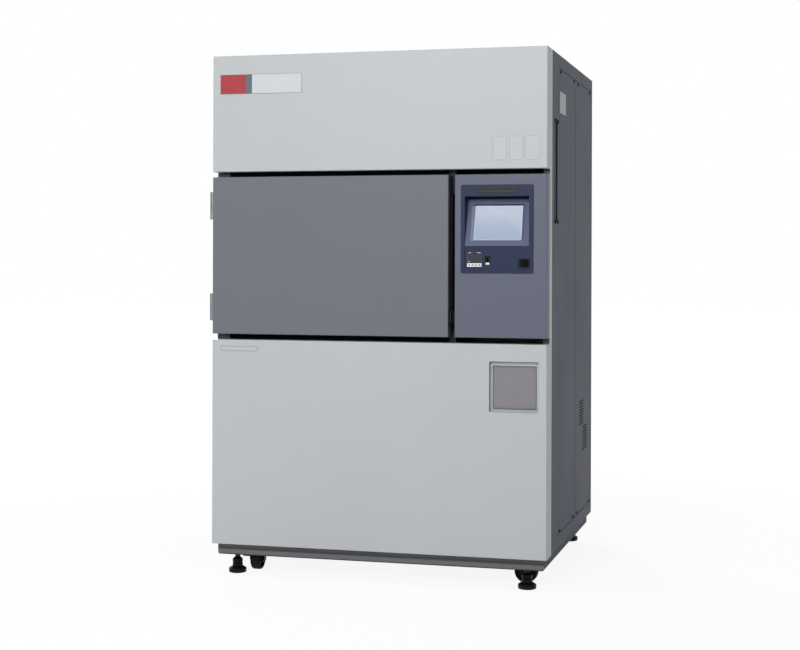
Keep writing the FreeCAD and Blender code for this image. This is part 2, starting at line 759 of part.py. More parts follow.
def side_frames():
    """Both side frames; the right one has the slot behind the narrow service cover."""
    slot = box(HALF - SHEET - 1, HALF + 1, SLOT_FRONT, SLOT_REAR, SLOT_BOTTOM, SLOT_TOP)
    return Part.makeCompound([mirrored(side_frame()), side_frame().cut(slot)])


def louvred(panel, skin, front, rear, bottom):
    """Cut a group of air slots into a panel that faces +X and add a slanted vane behind each."""
    vane_reach = 3 * SHEET
    for row in range(LOUVRE_COUNT):
        low = bottom + row * LOUVRE_PITCH
        high = low + LOUVRE_OPENING
        panel = panel.cut(box(skin - SHEET - 1, skin + 1, front, rear, low, high))
        outline = [(skin - SHEET / 2, high), (skin - SHEET / 2, high + SHEET),
                   (skin - SHEET - vane_reach, high + SHEET - LOUVRE_OPENING),
                   (skin - SHEET - vane_reach, high - LOUVRE_OPENING)]
        panel = panel.fuse(prism([(x, front, z) for x, z in outline], (0, rear - front, 0)))
    return panel


def side_panels():
    """The two removable panels of the right side; the rear one has two groups of louvres."""
    inner = HALF - PANEL_TRAY
    low = SIDE_BOTTOM + SEAM
    high = SIDE_TOP - SEAM
    front = tray((inner, SIDE_FRONT + SEAM, low), (HALF, SIDE_SEAM - SEAM, high), 0, 1,
                 TRAY_LIP, TRAY_RADIUS)
    rear = tray((inner, SIDE_SEAM + SEAM, low), (HALF, SIDE_REAR - SEAM, high), 0, 1,
                TRAY_LIP, TRAY_RADIUS)
    for start, end, bottom in (UPPER_LOUVRE, LOWER_LOUVRE):
        rear = louvred(rear, HALF, start, end, bottom)
    return Part.makeCompound([front, rear])


def slot_cover():
    """Narrow cover over the slot of the right side, dished into it."""
    low = (SLOT_FRONT - SLOT_FLANGE, SLOT_BOTTOM - SLOT_FLANGE)
    high = (SLOT_REAR + SLOT_FLANGE, SLOT_TOP + SLOT_FLANGE)
    flange = box(HALF, HALF + SLOT_SHEET, low[0], high[0], low[1], high[1])
    flange = rounded(flange, SLOT_FLANGE / 2, along(0))
    front = SLOT_FRONT + SEAM
    rear = SLOT_REAR - SEAM
    bottom = SLOT_BOTTOM + SEAM
    top = SLOT_TOP - SEAM
    dish = box(HALF - SLOT_DISH - SLOT_SHEET, HALF + SLOT_SHEET / 2, front, rear, bottom, top)
    hollow = box(HALF - SLOT_DISH, HALF + 2 * SLOT_SHEET, front + SLOT_SHEET, rear - SLOT_SHEET,
                 bottom + SLOT_SHEET, top - SLOT_SHEET)
    return flange.fuse(dish).cut(hollow).removeSplitter()


def dome(place, axis, radius, height):
    """Low round head of a screw or a knob, on a face that looks along the axis."""
    head = turned([(0, 0), (radius, 0), (radius, HEAD_WALL_SHARE * height),
                   (HEAD_TOP_SHARE * radius, height), (0, height)])
    head.Placement = FreeCAD.Placement(Vector(*place), FreeCAD.Rotation(Vector(0, 0, 1), Vector(*axis)))
    return head


def panel_screws():
    """Heads of the side and rear panel screws, and the knobs of the slot cover."""
    heads = []
    inset = SCREW_MARGIN
    from_front, before_seam, after_seam, from_rear = SCREW_INSETS
    for y in (SIDE_FRONT + from_front, SIDE_SEAM - before_seam, SIDE_SEAM + after_seam,
              SIDE_REAR - from_rear):
        for z in (SIDE_BOTTOM + inset, SIDE_TOP - inset):
            heads.append(dome((HALF, y, z), (1, 0, 0), SCREW_RADIUS, SCREW_HEIGHT))
            heads.append(dome((-HALF, y, z), (-1, 0, 0), SCREW_RADIUS, SCREW_HEIGHT))
    for y in (SLOT_FRONT, SLOT_REAR):
        for z in (SLOT_BOTTOM, SLOT_TOP):
            heads.append(dome((HALF + SLOT_SHEET, y, z), (1, 0, 0), KNOB_RADIUS, KNOB_HEIGHT))
    for x in (-REAR_HALF + inset, REAR_HALF - inset):
        for z in (REAR_BOTTOM + inset, REAR_SEAM - inset, REAR_SEAM + inset, REAR_TOP - inset):
            heads.append(dome((x, DEPTH, z), (0, 1, 0), SCREW_RADIUS, SCREW_HEIGHT))
    return Part.makeCompound(heads)


def top_cover():
    """Top sheet with a folded stiffening ring that lies inside the frames."""
    half = HALF - SHEET
    underside = HEIGHT - SHEET
    sheet = box(-half, half, PANEL_DEPTH, DEPTH - SHEET, underside, HEIGHT)
    ring_half = half - FLANGE - SHEET
    front = POST_BACK + 2 * SHEET
    rear = DEPTH - FRAME_WALL - SHEET
    low = underside - FRAME_WALL
    ring = box(-ring_half, ring_half, front, rear, low, underside)
    ring = ring.cut(box(-ring_half + SHEET, ring_half - SHEET, front + SHEET, rear - SHEET,
                        low - 1, underside))
    return joined([sheet, ring])


def rear_covers():
    """Two removable rear trays; the lower one has louvres and the holes of pipes and gland."""
    front = DEPTH - PANEL_TRAY
    lower = tray((-REAR_HALF, front, REAR_BOTTOM), (REAR_HALF, DEPTH, REAR_SEAM - SEAM),
                 1, 1, TRAY_LIP, TRAY_RADIUS)
    upper = tray((-REAR_HALF, front, REAR_SEAM + SEAM), (REAR_HALF, DEPTH, REAR_TOP),
                 1, 1, TRAY_LIP, TRAY_RADIUS)
    turn = FreeCAD.Placement(Vector(0, DEPTH, 0), FreeCAD.Rotation(Vector(0, 0, 1), 90))
    lower.Placement = turn.inverse()
    lower = louvred(lower, 0, -REAR_LOUVRE_WIDTH / 2, REAR_LOUVRE_WIDTH / 2,
                    REAR_BOTTOM + REAR_LOUVRE_RISE)
    lower.Placement = turn
    for z in PIPE_HEIGHTS:
        lower = lower.cut(rod((PIPE_SIDE, front - 1, z), (0, 1, 0), PIPE_RADIUS + CLEAR, 2 * PANEL_TRAY))
    lower = lower.cut(rod((GLAND_SIDE, front - 1, GLAND_HEIGHT), (0, 1, 0), GLAND_FLATS / 3,
                          2 * PANEL_TRAY))
    return Part.makeCompound([lower, upper])


def cable_gland():
    """Gland of the mains cable in the rear cover: hexagon, dome nut and clear bore."""
    radius = GLAND_FLATS / 3 - BORE_CLEAR
    nut_start = GLAND_HEX - 1
    gland = joined([hexagon(GLAND_FLATS, GLAND_HEX, 0), rod((0, 0, -GLAND_STUB), (0, 0, 1), radius,
                                                            GLAND_STUB + 1),
                    turned([(0, nut_start), (GLAND_NUT_RADIUS, nut_start),
                            (GLAND_NUT_RADIUS, GLAND_NUT_END), (GLAND_TIP_RADIUS, GLAND_TIP),
                            (0, GLAND_TIP)])])
    gland = gland.cut(rod((0, 0, -GLAND_STUB - 1), (0, 0, 1), GLAND_BORE, GLAND_STUB + GLAND_TIP + 2))
    gland.Placement = FreeCAD.Placement(Vector(GLAND_SIDE, DEPTH, GLAND_HEIGHT),
                                        FreeCAD.Rotation(Vector(0, 0, 1), Vector(0, 1, 0)))
    return gland


def upper_front_panel():
    """Upper front panel, a deep folded tray."""
    return tray((-HALF, 0, UPPER_BOTTOM), (HALF, PANEL_DEPTH, HEIGHT), 1, -1, PANEL_LIP, PANEL_RADIUS)


def lower_front_panel():
    """Lower front panel with the rounded opening of the switch recess."""
    panel = tray((-HALF, 0, BASE_TOP), (HALF, PANEL_DEPTH, LOWER_TOP), 1, -1, PANEL_LIP, PANEL_RADIUS)
    opening = box(RECESS_LEFT, RECESS_RIGHT, -1, SHEET + 1, RECESS_BOTTOM, RECESS_TOP)
    return panel.cut(rounded(opening, RECESS_ROUND, along(1)))


def control_panel():
    """Control panel tray with the cut-out that the operation bezel covers."""
    panel = tray((CONTROL_LEFT, 0, DOOR_BOTTOM), (HALF, PANEL_DEPTH, DOOR_TOP), 1, -1,
                 PANEL_LIP, PANEL_RADIUS)
    return panel.cut(box(BEZEL_LEFT + BEZEL_LAP, BEZEL_RIGHT - BEZEL_LAP, -1, SHEET + 1,
                         BEZEL_BOTTOM + BEZEL_LAP, BEZEL_TOP - BEZEL_LAP))


def port_boards(low, high):
    """Four insulation boards round the air port between two cavities."""
    left = CAVITY_LEFT + PORT_INSET
    right = CAVITY_RIGHT - PORT_INSET
    return [box(CAVITY_LEFT, CAVITY_RIGHT, BODY_FRONT, PORT_FRONT, low, high),
            box(CAVITY_LEFT, CAVITY_RIGHT, PORT_REAR, BODY_REAR, low, high),
            box(CAVITY_LEFT, left, PORT_FRONT, PORT_REAR, low, high),
            box(right, CAVITY_RIGHT, PORT_FRONT, PORT_REAR, low, high)]


def insulation_body():
    """Insulation boards round the hot, test and cold cavities, with the shaft holes in their sides."""
    hot_top = HOT_BOTTOM + HOT_HEIGHT
    boards = [box(CAVITY_LEFT, CAVITY_RIGHT, BODY_FRONT, BODY_REAR, BODY_BOTTOM, COLD_BOTTOM),
              box(CAVITY_LEFT, CAVITY_RIGHT, BODY_FRONT, BODY_REAR, hot_top, BODY_TOP),
              box(CAVITY_LEFT, CAVITY_RIGHT, BODY_FRONT + TEST_DEPTH, BODY_REAR, TEST_BOTTOM, TEST_TOP)]
    for low, high in ((COLD_BOTTOM, COLD_TOP), (HOT_BOTTOM, hot_top)):
        boards.append(box(CAVITY_LEFT, CAVITY_RIGHT, BODY_FRONT, AIR_FRONT, low, high))
        boards.append(box(CAVITY_LEFT, CAVITY_RIGHT, AIR_REAR, BODY_REAR, low, high))
    boards += port_boards(COLD_TOP, TEST_BOTTOM)
    boards += port_boards(TEST_TOP, HOT_BOTTOM)
    left = box(BODY_LEFT, CAVITY_LEFT, BODY_FRONT, BODY_REAR, BODY_BOTTOM, BODY_TOP)
    right = box(CAVITY_RIGHT, BODY_RIGHT, BODY_FRONT, BODY_REAR, BODY_BOTTOM, BODY_TOP)
    wall = BODY_RIGHT - CAVITY_RIGHT + 2
    for z in (HOT_BLOWER_Z, COLD_BLOWER_Z):
        right = right.cut(rod((CAVITY_RIGHT - 1, BLOWER_DEPTH, z), (1, 0, 0), SHAFT_RADIUS + CLEAR, wall))
    start = CAVITY_LEFT - DAMPER_GRIP
    for z in (HOT_DAMPER_Z, COLD_DAMPER_Z):
        shaft = rod((start, DAMPER_Y, z), (1, 0, 0), DAMPER_SHAFT + BUSH_CLEAR, BODY_RIGHT + 1 - start)
        left = left.cut(shaft)
        right = right.cut(shaft)
    return Part.makeCompound(boards + [left, right])


def angle_bar(x, y, z, length, toward):
    """Upright steel angle whose sheets run from its corner in the given X and Y directions."""
    reach_x = toward[0] * STAND_ANGLE
    reach_y = toward[1] * STAND_ANGLE
    thick_x = toward[0] * STAND_SHEET
    thick_y = toward[1] * STAND_SHEET
    outline = [(x, y), (x + reach_x, y), (x + reach_x, y + thick_y), (x + thick_x, y + thick_y),
               (x + thick_x, y + reach_y), (x, y + reach_y)]
    return prism([(px, py, z) for px, py in outline], (0, 0, length))


def chamber_stand():
    """Four angle legs, four flat bars and a cross bar that carry the chambers on the base."""
    low = BODY_BOTTOM - STAND_ANGLE
    left = BODY_LEFT + STAND_SHEET
    right = BODY_RIGHT - STAND_SHEET
    front = BODY_FRONT + STAND_SHEET
    rear = BODY_REAR - STAND_SHEET
    middle = (BODY_FRONT + BODY_REAR) / 2
    half = STAND_ANGLE / 2
    pieces = [box(BODY_LEFT, BODY_RIGHT, BODY_FRONT, front, low, BODY_BOTTOM),
              box(BODY_LEFT, BODY_RIGHT, rear, BODY_REAR, low, BODY_BOTTOM),
              box(BODY_LEFT, left, front, rear, low, BODY_BOTTOM),
              box(right, BODY_RIGHT, front, rear, low, BODY_BOTTOM),
              box(left, right, middle - half, middle + half, low, BODY_BOTTOM)]
    for x, side in ((BODY_LEFT, 1), (BODY_RIGHT, -1)):
        for y, way in ((BODY_FRONT, 1), (BODY_REAR, -1)):
            pieces.append(angle_bar(x, y, BASE_TOP, low - BASE_TOP, (side, way)))
    return Part.makeCompound(pieces)


def air_slotted(sheet, z):
    """Cut the row of air slots over the port into a level sheet."""
    pitch = (CAVITY_WIDTH - 2 * PORT_INSET) / AIR_SLOTS
    first = CAVITY_LEFT + PORT_INSET + (pitch - AIR_SLOT_WIDTH) / 2
    for i in range(AIR_SLOTS):
        x = first + i * pitch
        sheet = sheet.cut(box(x, x + AIR_SLOT_WIDTH, PORT_FRONT + AIR_SLOT_INSET,
                              PORT_REAR - AIR_SLOT_INSET, z - 1, z + LINER_SHEET + 1))
    return sheet


def test_area_liner():
    """Stainless liner of the test area, welded from sheets, with a front frame and rack runners."""
    back = BODY_FRONT + TEST_DEPTH
    front = BODY_FRONT - LINER_SHEET
    left = CAVITY_LEFT + LINER_SHEET
    right = CAVITY_RIGHT - LINER_SHEET
    low = TEST_BOTTOM + LINER_SHEET
    high = TEST_TOP - LINER_SHEET
    frame_low = TEST_BOTTOM - LINER_FLANGE
    frame_high = TEST_TOP + LINER_FLANGE
    floor = box(CAVITY_LEFT, CAVITY_RIGHT, BODY_FRONT, back, TEST_BOTTOM, low)
    ceiling = box(CAVITY_LEFT, CAVITY_RIGHT, BODY_FRONT, back, high, TEST_TOP)
    sheets = [air_slotted(floor, TEST_BOTTOM), air_slotted(ceiling, high),
              box(CAVITY_LEFT, left, BODY_FRONT, back, low, high),
              box(right, CAVITY_RIGHT, BODY_FRONT, back, low, high),
              box(left, right, back - LINER_SHEET, back, low, high),
              box(CAVITY_LEFT - LINER_FLANGE, left, front, BODY_FRONT, frame_low, frame_high),
              box(right, CAVITY_RIGHT + LINER_FLANGE, front, BODY_FRONT, frame_low, frame_high),
              box(left, right, front, BODY_FRONT, frame_low, low),
              box(left, right, front, BODY_FRONT, high, frame_high)]
    runner = TEST_BOTTOM + RUNNER_HEIGHT
    runner_front = DOOR_DEPTH + PLUG_DEPTH + RACK_MARGIN
    for x in (left, right - RUNNER_WIDTH):
        sheets.append(box(x, x + RUNNER_WIDTH, runner_front, back - LINER_SHEET,
                          runner - LINER_SHEET, runner))
    return Part.makeCompound(sheets)


def specimen_rack():
    """Wire shelf that lies on the runners of the test area."""
    z = TEST_BOTTOM + RUNNER_HEIGHT + RACK_ROD
    left = CAVITY_LEFT + LINER_SHEET + RACK_MARGIN + RACK_ROD
    right = CAVITY_RIGHT - LINER_SHEET - RACK_MARGIN - RACK_ROD
    front = DOOR_DEPTH + PLUG_DEPTH + 2 * RACK_MARGIN
    back = BODY_FRONT + TEST_DEPTH - 5 * RACK_MARGIN
    pieces = [rod((x, front, z), (0, 1, 0), RACK_ROD, back - front) for x in (left, right)]
    pieces += [rod((left, y, z), (1, 0, 0), RACK_ROD, right - left) for y in (front, back)]
    pieces += [Part.makeSphere(RACK_ROD, Vector(x, y, z)) for x in (left, right) for y in (front, back)]
    step = (right - left) / (RACK_WIRES + 1)
    for i in range(RACK_WIRES):
        x = left + (i + 1) * step
        pieces.append(rod((x, front, z + RACK_WIRE), (0, 1, 0), RACK_WIRE, back - front))
    rack = pieces[0]
    return rack.fuse(pieces[1:])


def door_shell():
    """Door skin, a folded tray that is open at its back."""
    block = box(-HALF, DOOR_RIGHT, 0, DOOR_DEPTH, DOOR_BOTTOM, DOOR_TOP)
    block = rounded(block, PANEL_RADIUS, on_plane(1, 0))
    return block.cut(box(-HALF + SHEET, DOOR_RIGHT - SHEET, SHEET, DOOR_DEPTH + 1,
                         DOOR_BOTTOM + SHEET, DOOR_TOP - SHEET))


def plug(shrink, front, back):
    """Tapered plug of the door, inset from the liner opening by a further shrink."""
    gap = PLUG_GAP + LINER_SHEET + shrink
    return frustum(CAVITY_LEFT + gap, CAVITY_RIGHT - gap, TEST_BOTTOM + gap, TEST_TOP - gap,
                   front, back, PLUG_TAPER)


def door_pan():
    """Inner door pan: a flat edge and the hollow plug that reaches into the test area."""
    face = DOOR_DEPTH - PAN_SHEET
    plate = box(-HALF + SHEET, DOOR_RIGHT - SHEET, face, DOOR_DEPTH,
                DOOR_BOTTOM + SHEET, DOOR_TOP - SHEET)
    back = DOOR_DEPTH + PLUG_DEPTH
    return plate.fuse(plug(0, face, back)).cut(plug(PAN_SHEET, face, back - PAN_SHEET))


def door_insulation():
    """Filling of the door, with the core of its plug."""
    face = DOOR_DEPTH - PAN_SHEET
    block = box(-HALF + SHEET, DOOR_RIGHT - SHEET, SHEET, face, DOOR_BOTTOM + SHEET, DOOR_TOP - SHEET)
    return block.fuse(plug(PAN_SHEET, face, DOOR_DEPTH + PLUG_DEPTH - PAN_SHEET))


def door_gasket():
    """Silicone gasket round the plug, pressed nearly to the flange of the liner."""
    margin = GASKET_MARGIN + GASKET_WIDTH
    seal = BODY_FRONT - LINER_SHEET - SEAT
    ring = box(CAVITY_LEFT - margin, CAVITY_RIGHT + margin, DOOR_DEPTH, seal,
               TEST_BOTTOM - margin, TEST_TOP + margin)
    ring = rounded(ring, GASKET_WIDTH, along(1))
    hole = box(CAVITY_LEFT - GASKET_MARGIN, CAVITY_RIGHT + GASKET_MARGIN, DOOR_DEPTH - 1, seal + 1,
               TEST_BOTTOM - GASKET_MARGIN, TEST_TOP + GASKET_MARGIN)
    return ring.cut(hole)


def door_grip():
    """Grip strip on the free edge of the door, with the two ears and the pin of the latch."""
    bar = box(DOOR_RIGHT, DOOR_RIGHT + GRIP_THICK, GRIP_BACK - GRIP_DEPTH, GRIP_BACK,
              DOOR_BOTTOM + GRIP_END / 2, DOOR_TOP - GRIP_END)
    bar = rounded(bar, GRIP_ROUND, on_plane(0, DOOR_RIGHT + GRIP_THICK))
    low = LATCH_BOTTOM - SEAT
    high = LATCH_BOTTOM + LATCH_HEIGHT + SEAT
    right = LATCH_X + LATCH_BOSS + EAR_MARGIN
    pieces = [bar]
    for z in (low - EAR_SHEET, high):
        ear = box(DOOR_RIGHT, right, EAR_FRONT, EAR_REAR, z, z + EAR_SHEET)
        pieces.append(ear)
    pieces.append(rod((LATCH_X, LATCH_IN, low - EAR_SHEET), (0, 0, 1), LATCH_PIN,
                      high - low + 2 * EAR_SHEET))
    return joined(pieces)


def latch_lever():
    """Finger latch: a tab in front of its boss and an arm with a nose behind it."""
    left = LATCH_X - LATCH_ARM / 2
    right = LATCH_X + LATCH_ARM / 2
    nose_left = DOOR_RIGHT + CLEAR
    arm = [(left, LATCH_IN), (left, LATCH_NOSE_FRONT), (nose_left, LATCH_NOSE_FRONT),
           (nose_left, LATCH_NOSE_REAR), (right, LATCH_NOSE_REAR), (right, LATCH_IN)]
    tab_left = LATCH_X - 1.5 * LATCH_ARM
    tab = [(tab_left, LATCH_TAB_FRONT), (tab_left, LATCH_IN), (LATCH_X, LATCH_IN),
           (LATCH_X - LATCH_ARM / 2, LATCH_TAB_FRONT)]
    push = (0, 0, LATCH_HEIGHT)
    pieces = [prism([(x, y, LATCH_BOTTOM) for x, y in outline], push) for outline in (arm, tab)]
    pieces.append(rod((LATCH_X, LATCH_IN, LATCH_BOTTOM), (0, 0, 1), LATCH_BOSS, LATCH_HEIGHT))
    bore = rod((LATCH_X, LATCH_IN, LATCH_BOTTOM - 1), (0, 0, 1), LATCH_PIN + BORE_CLEAR, LATCH_HEIGHT + 2)
    return joined(pieces).cut(bore)


def knuckle_spans(bottom):
    """Lower, middle and upper knuckle of a hinge, with a small gap between them."""
    third = HINGE_LENGTH / 3
    gap = CLEAR / 2
    return ((bottom, bottom + third - gap), (bottom + third + gap, bottom + 2 * third - gap),
            (bottom + 2 * third + gap, bottom + HINGE_LENGTH))


def hinge_body_leaf(bottom):
    """Cranked leaf on the left post with two knuckles and the pin."""
    lower, middle, upper = knuckle_spans(bottom)
    rear = POST_BACK
    bend = PANEL_DEPTH + 2 * SHEET
    pieces = [box(-HALF - HINGE_LEAF, -HALF, bend, rear, bottom, bottom + HINGE_LENGTH)]
    for low, high in (lower, upper):
        pieces.append(rod((HINGE_X, HINGE_IN, low), (0, 0, 1), HINGE_RADIUS, high - low))
        pieces.append(box(-HALF - HINGE_LEAF - HINGE_CRANK, -HALF - HINGE_CRANK, HINGE_IN,
                          bend + HINGE_LEAF, low, high))
    pieces.append(rod((HINGE_X, HINGE_IN, bottom), (0, 0, 1), HINGE_PIN, HINGE_LENGTH))
    return joined(pieces)


def hinge_door_leaf(bottom):
    """Leaf on the side of the door with the middle knuckle."""
    low, high = knuckle_spans(bottom)[1]
    plate = box(-HALF - HINGE_LEAF, -HALF, 3 * SHEET, HINGE_IN, low, high)
    knuckle = rod((HINGE_X, HINGE_IN, low), (0, 0, 1), HINGE_RADIUS, high - low)
    neck = box(HINGE_X, -HALF - HINGE_CRANK, HINGE_IN - HINGE_RADIUS, HINGE_IN, low, high)
    bore = rod((HINGE_X, HINGE_IN, low - 1), (0, 0, 1), HINGE_PIN + BORE_CLEAR, high - low + 2)
    return joined([plate, knuckle, neck]).cut(bore)


def blade():
    """One forward curved blade, a shallow arc between the rims."""
    centre = (WHEEL_INNER + WHEEL_OUTER) / 2
    half = (WHEEL_OUTER - WHEEL_INNER) / 2 - 1
    spread = math.degrees(math.asin(half / (BLADE_RADIUS + BLADE_SHEET)))
    arc = ring_sector(BLADE_RADIUS, BLADE_RADIUS + BLADE_SHEET, 90 - spread, 90 + spread,
                      WHEEL_PLATE / 2, WHEEL_LENGTH - WHEEL_PLATE)
    arc.translate(Vector(centre, 0, -BLADE_OFFSET))
    return arc


def blower_wheel(height):
    """Squirrel cage wheel on its drive shaft, which runs through the right chamber wall."""
    inner_ring = rod((0, 0, 0), (0, 1, 0), WHEEL_INNER, WHEEL_PLATE)
    front = rod((0, 0, 0), (0, 1, 0), WHEEL_OUTER, WHEEL_PLATE).cut(inner_ring)
    back_start = WHEEL_LENGTH - WHEEL_PLATE
    pieces = [front, rod((0, back_start, 0), (0, 1, 0), WHEEL_OUTER, WHEEL_PLATE),
              rod((0, WHEEL_LENGTH - HUB_LENGTH, 0), (0, 1, 0), HUB_RADIUS, HUB_LENGTH),
              rod((0, WHEEL_LENGTH - HUB_LENGTH, 0), (0, 1, 0), SHAFT_RADIUS,
                  HUB_LENGTH + WALL_GAP + BODY_RIGHT - CAVITY_RIGHT + SHAFT_GRIP)]
    for i in range(BLADES):
        one = blade()
        one.rotate(Vector(0, 0, 0), Vector(0, 1, 0), 360 / BLADES * i)
        pieces.append(one)
    wheel = pieces[1].fuse([pieces[0]] + pieces[2:])
    wheel.rotate(Vector(0, 0, 0), Vector(0, 0, 1), -90)
    wheel.translate(Vector(CAVITY_RIGHT - WALL_GAP - WHEEL_LENGTH, BLOWER_DEPTH, height))
    return wheel


def motor(height):
    """Blower motor on the right wall of the insulation, with its foot flange and shaft bore."""
    body = rod((BODY_RIGHT, BLOWER_DEPTH, height), (1, 0, 0), MOTOR_RADIUS, MOTOR_LENGTH)
    body = rounded(body, HUB_RADIUS / 2, lambda edge: rim_of_radius(MOTOR_RADIUS)(edge)
                   and on_plane(0, BODY_RIGHT + MOTOR_LENGTH)(edge))
    flange = rod((BODY_RIGHT, BLOWER_DEPTH, height), (1, 0, 0), MOTOR_RADIUS + HUB_RADIUS / 2, WHEEL_PLATE)
    bore = rod((BODY_RIGHT - 1, BLOWER_DEPTH, height), (1, 0, 0), SHAFT_RADIUS + BORE_CLEAR,
               SHAFT_GRIP + 2)
    return joined([body, flange]).cut(bore)


def actuator(height):
    """Damper actuator on the right wall of the insulation."""
    y = DAMPER_Y - ACTUATOR_WIDTH / 2 - DAMPER_SHAFT
    low = height - ACTUATOR_HEIGHT / 2
    case = box(BODY_RIGHT, BODY_RIGHT + ACTUATOR_LENGTH, y, y + ACTUATOR_WIDTH, low, low + ACTUATOR_HEIGHT)
    case = rounded(case, DAMPER_SHAFT, along(0))
    return case.cut(rod((BODY_RIGHT - 1, DAMPER_Y, height), (1, 0, 0), DAMPER_SHAFT + BORE_CLEAR,
                        DAMPER_GRIP + 2))


def drive_units():
    """Two blower motors and two damper actuators."""
    return Part.makeCompound([motor(HOT_BLOWER_Z), motor(COLD_BLOWER_Z),
                              actuator(HOT_DAMPER_Z), actuator(COLD_DAMPER_Z)])


def damper(height, plate_low):
    """Flap over an air port, on a shaft that ends in the left wall and in its actuator."""
    start = CAVITY_LEFT - DAMPER_GRIP + SEAT
    end = BODY_RIGHT + DAMPER_GRIP
    shaft = rod((start, DAMPER_Y, height), (1, 0, 0), DAMPER_SHAFT, end - start)
    plate = box(CAVITY_LEFT + PORT_INSET - DAMPER_OVERLAP, CAVITY_RIGHT - PORT_INSET + DAMPER_OVERLAP,
                PORT_FRONT - DAMPER_OVERLAP, DAMPER_Y - DAMPER_SHAFT / 2, plate_low, plate_low + DAMPER_SHEET)
    return joined([shaft, plate])


def heater():
    """Rows of heating rods carried by two support plates on the hot chamber floor."""
    front = AIR_FRONT + HEATER_MARGIN
    left = CAVITY_LEFT + PORT_INSET
    right = CAVITY_RIGHT - 2 * PORT_INSET - WHEEL_LENGTH
    depth = (HEATER_PASSES - 1) * HEATER_PITCH + 2 * HEATER_MARGIN
    height = (HEATER_ROWS - 1) * HEATER_PITCH + 2 * HEATER_MARGIN
    pieces = [box(x, x + HEATER_SHEET, front, front + depth, HOT_BOTTOM, HOT_BOTTOM + height)
              for x in (left, right)]
    for column in range(HEATER_PASSES):
        for row in range(HEATER_ROWS):
            start = (left - HEATER_MARGIN / 2, front + HEATER_MARGIN + column * HEATER_PITCH,
                     HOT_BOTTOM + HEATER_MARGIN + row * HEATER_PITCH)
            pieces.append(rod(start, (1, 0, 0), HEATER_TUBE, right - left + HEATER_MARGIN))
    return pieces[0].fuse(pieces[1:])


def evaporator():
    """Finned cooler on the cold chamber floor: a row of fins on cross tubes."""
    left = CAVITY_LEFT + PORT_INSET
    front = AIR_FRONT + PORT_INSET / 2
    fins = []
    for i in range(FIN_COUNT):
        x = left + i * FIN_PITCH
        fins.append(box(x, x + FIN_SHEET, front, front + FIN_DEPTH, COLD_BOTTOM, COLD_BOTTOM + FIN_HEIGHT))
    tubes = []
    for i in range(COOLER_TUBES):
        y = front + FIN_DEPTH * (i + 0.5) / COOLER_TUBES
        tubes.append(rod((left - PORT_INSET / 2, y, COLD_BOTTOM + FIN_HEIGHT / 2), (1, 0, 0), COOLER_TUBE,
                         FIN_COUNT * FIN_PITCH))
    return fins[0].fuse(fins[1:] + tubes)


def compressor(x):
    """Hermetic compressor: a can with sloping shoulders on a square foot plate."""
    height = COMPRESSOR_HEIGHT
    shoulder = COMPRESSOR_RADIUS / 4
    can = turned([(0, 0), (COMPRESSOR_RADIUS - shoulder, 0), (COMPRESSOR_RADIUS, shoulder),
                  (COMPRESSOR_RADIUS, height - shoulder), (COMPRESSOR_RADIUS - shoulder, height),
                  (0, height)])
    half = COMPRESSOR_RADIUS + SHEET
    solid = joined([box(-half, half, -half, half, 0, COMPRESSOR_FOOT), can])
    solid.translate(Vector(x, COMPRESSOR_Y, BASE_TOP))
    return solid


def condenser():
    """Plate condenser on the base, with the two water pipes through the rear cover."""
    left = PIPE_SIDE - CONDENSER_WIDTH / 2
    rear = DEPTH - CONDENSER_INSET
    body = box(left, left + CONDENSER_WIDTH, rear - CONDENSER_DEPTH, rear,
               BASE_TOP, BASE_TOP + CONDENSER_HEIGHT)
    pieces = [rounded(body, BASE_RADIUS, along(2))]
    bores = []
    for z in PIPE_HEIGHTS:
        collar = hexagon(COLLAR_FLATS, COLLAR_LENGTH, 0)
        collar.rotate(Vector(0, 0, 0), Vector(1, 0, 0), -90)
        collar.translate(Vector(PIPE_SIDE, DEPTH, z))
        pieces.append(collar)
        pieces.append(rod((PIPE_SIDE, rear - 1, z), (0, 1, 0), PIPE_RADIUS, DEPTH + PIPE_REACH - rear + 1))
        bores.append(rod((PIPE_SIDE, rear + PIPE_WALL, z), (0, 1, 0), PIPE_RADIUS - PIPE_WALL, DEPTH))
    solid = joined(pieces)
    for bore in bores:
        solid = solid.cut(bore)
    return solid


def refrigeration_unit():
    """Two compressors and the plate condenser."""
    return Part.makeCompound([compressor(x) for x in COMPRESSOR_SIDES] + [condenser()])


def electrical_box():
    """Electrical box between the chambers and the right side, with its lid."""
    left = BOX_RIGHT - BOX_WIDTH
    rear = BOX_FRONT + BOX_DEPTH
    case = tray((left, BOX_FRONT, BASE_TOP), (BOX_RIGHT, rear, UPPER_BOTTOM), 0, 1, BOX_LIP, SHEET)
    lid = box(left - 2 * SHEET, left, BOX_FRONT, rear, BASE_TOP + BOX_LIP, UPPER_BOTTOM - BOX_LIP)
    return Part.makeCompound([case, rounded(lid, SHEET, on_plane(0, left - 2 * SHEET))])


def bezel_window(left, width, bottom, height, front, back, grow):
    """Block that opens a window in the bezel, larger than what passes by a clearance."""
    return box(left - grow, left + width + grow, front, back, bottom - grow, bottom + height + grow)


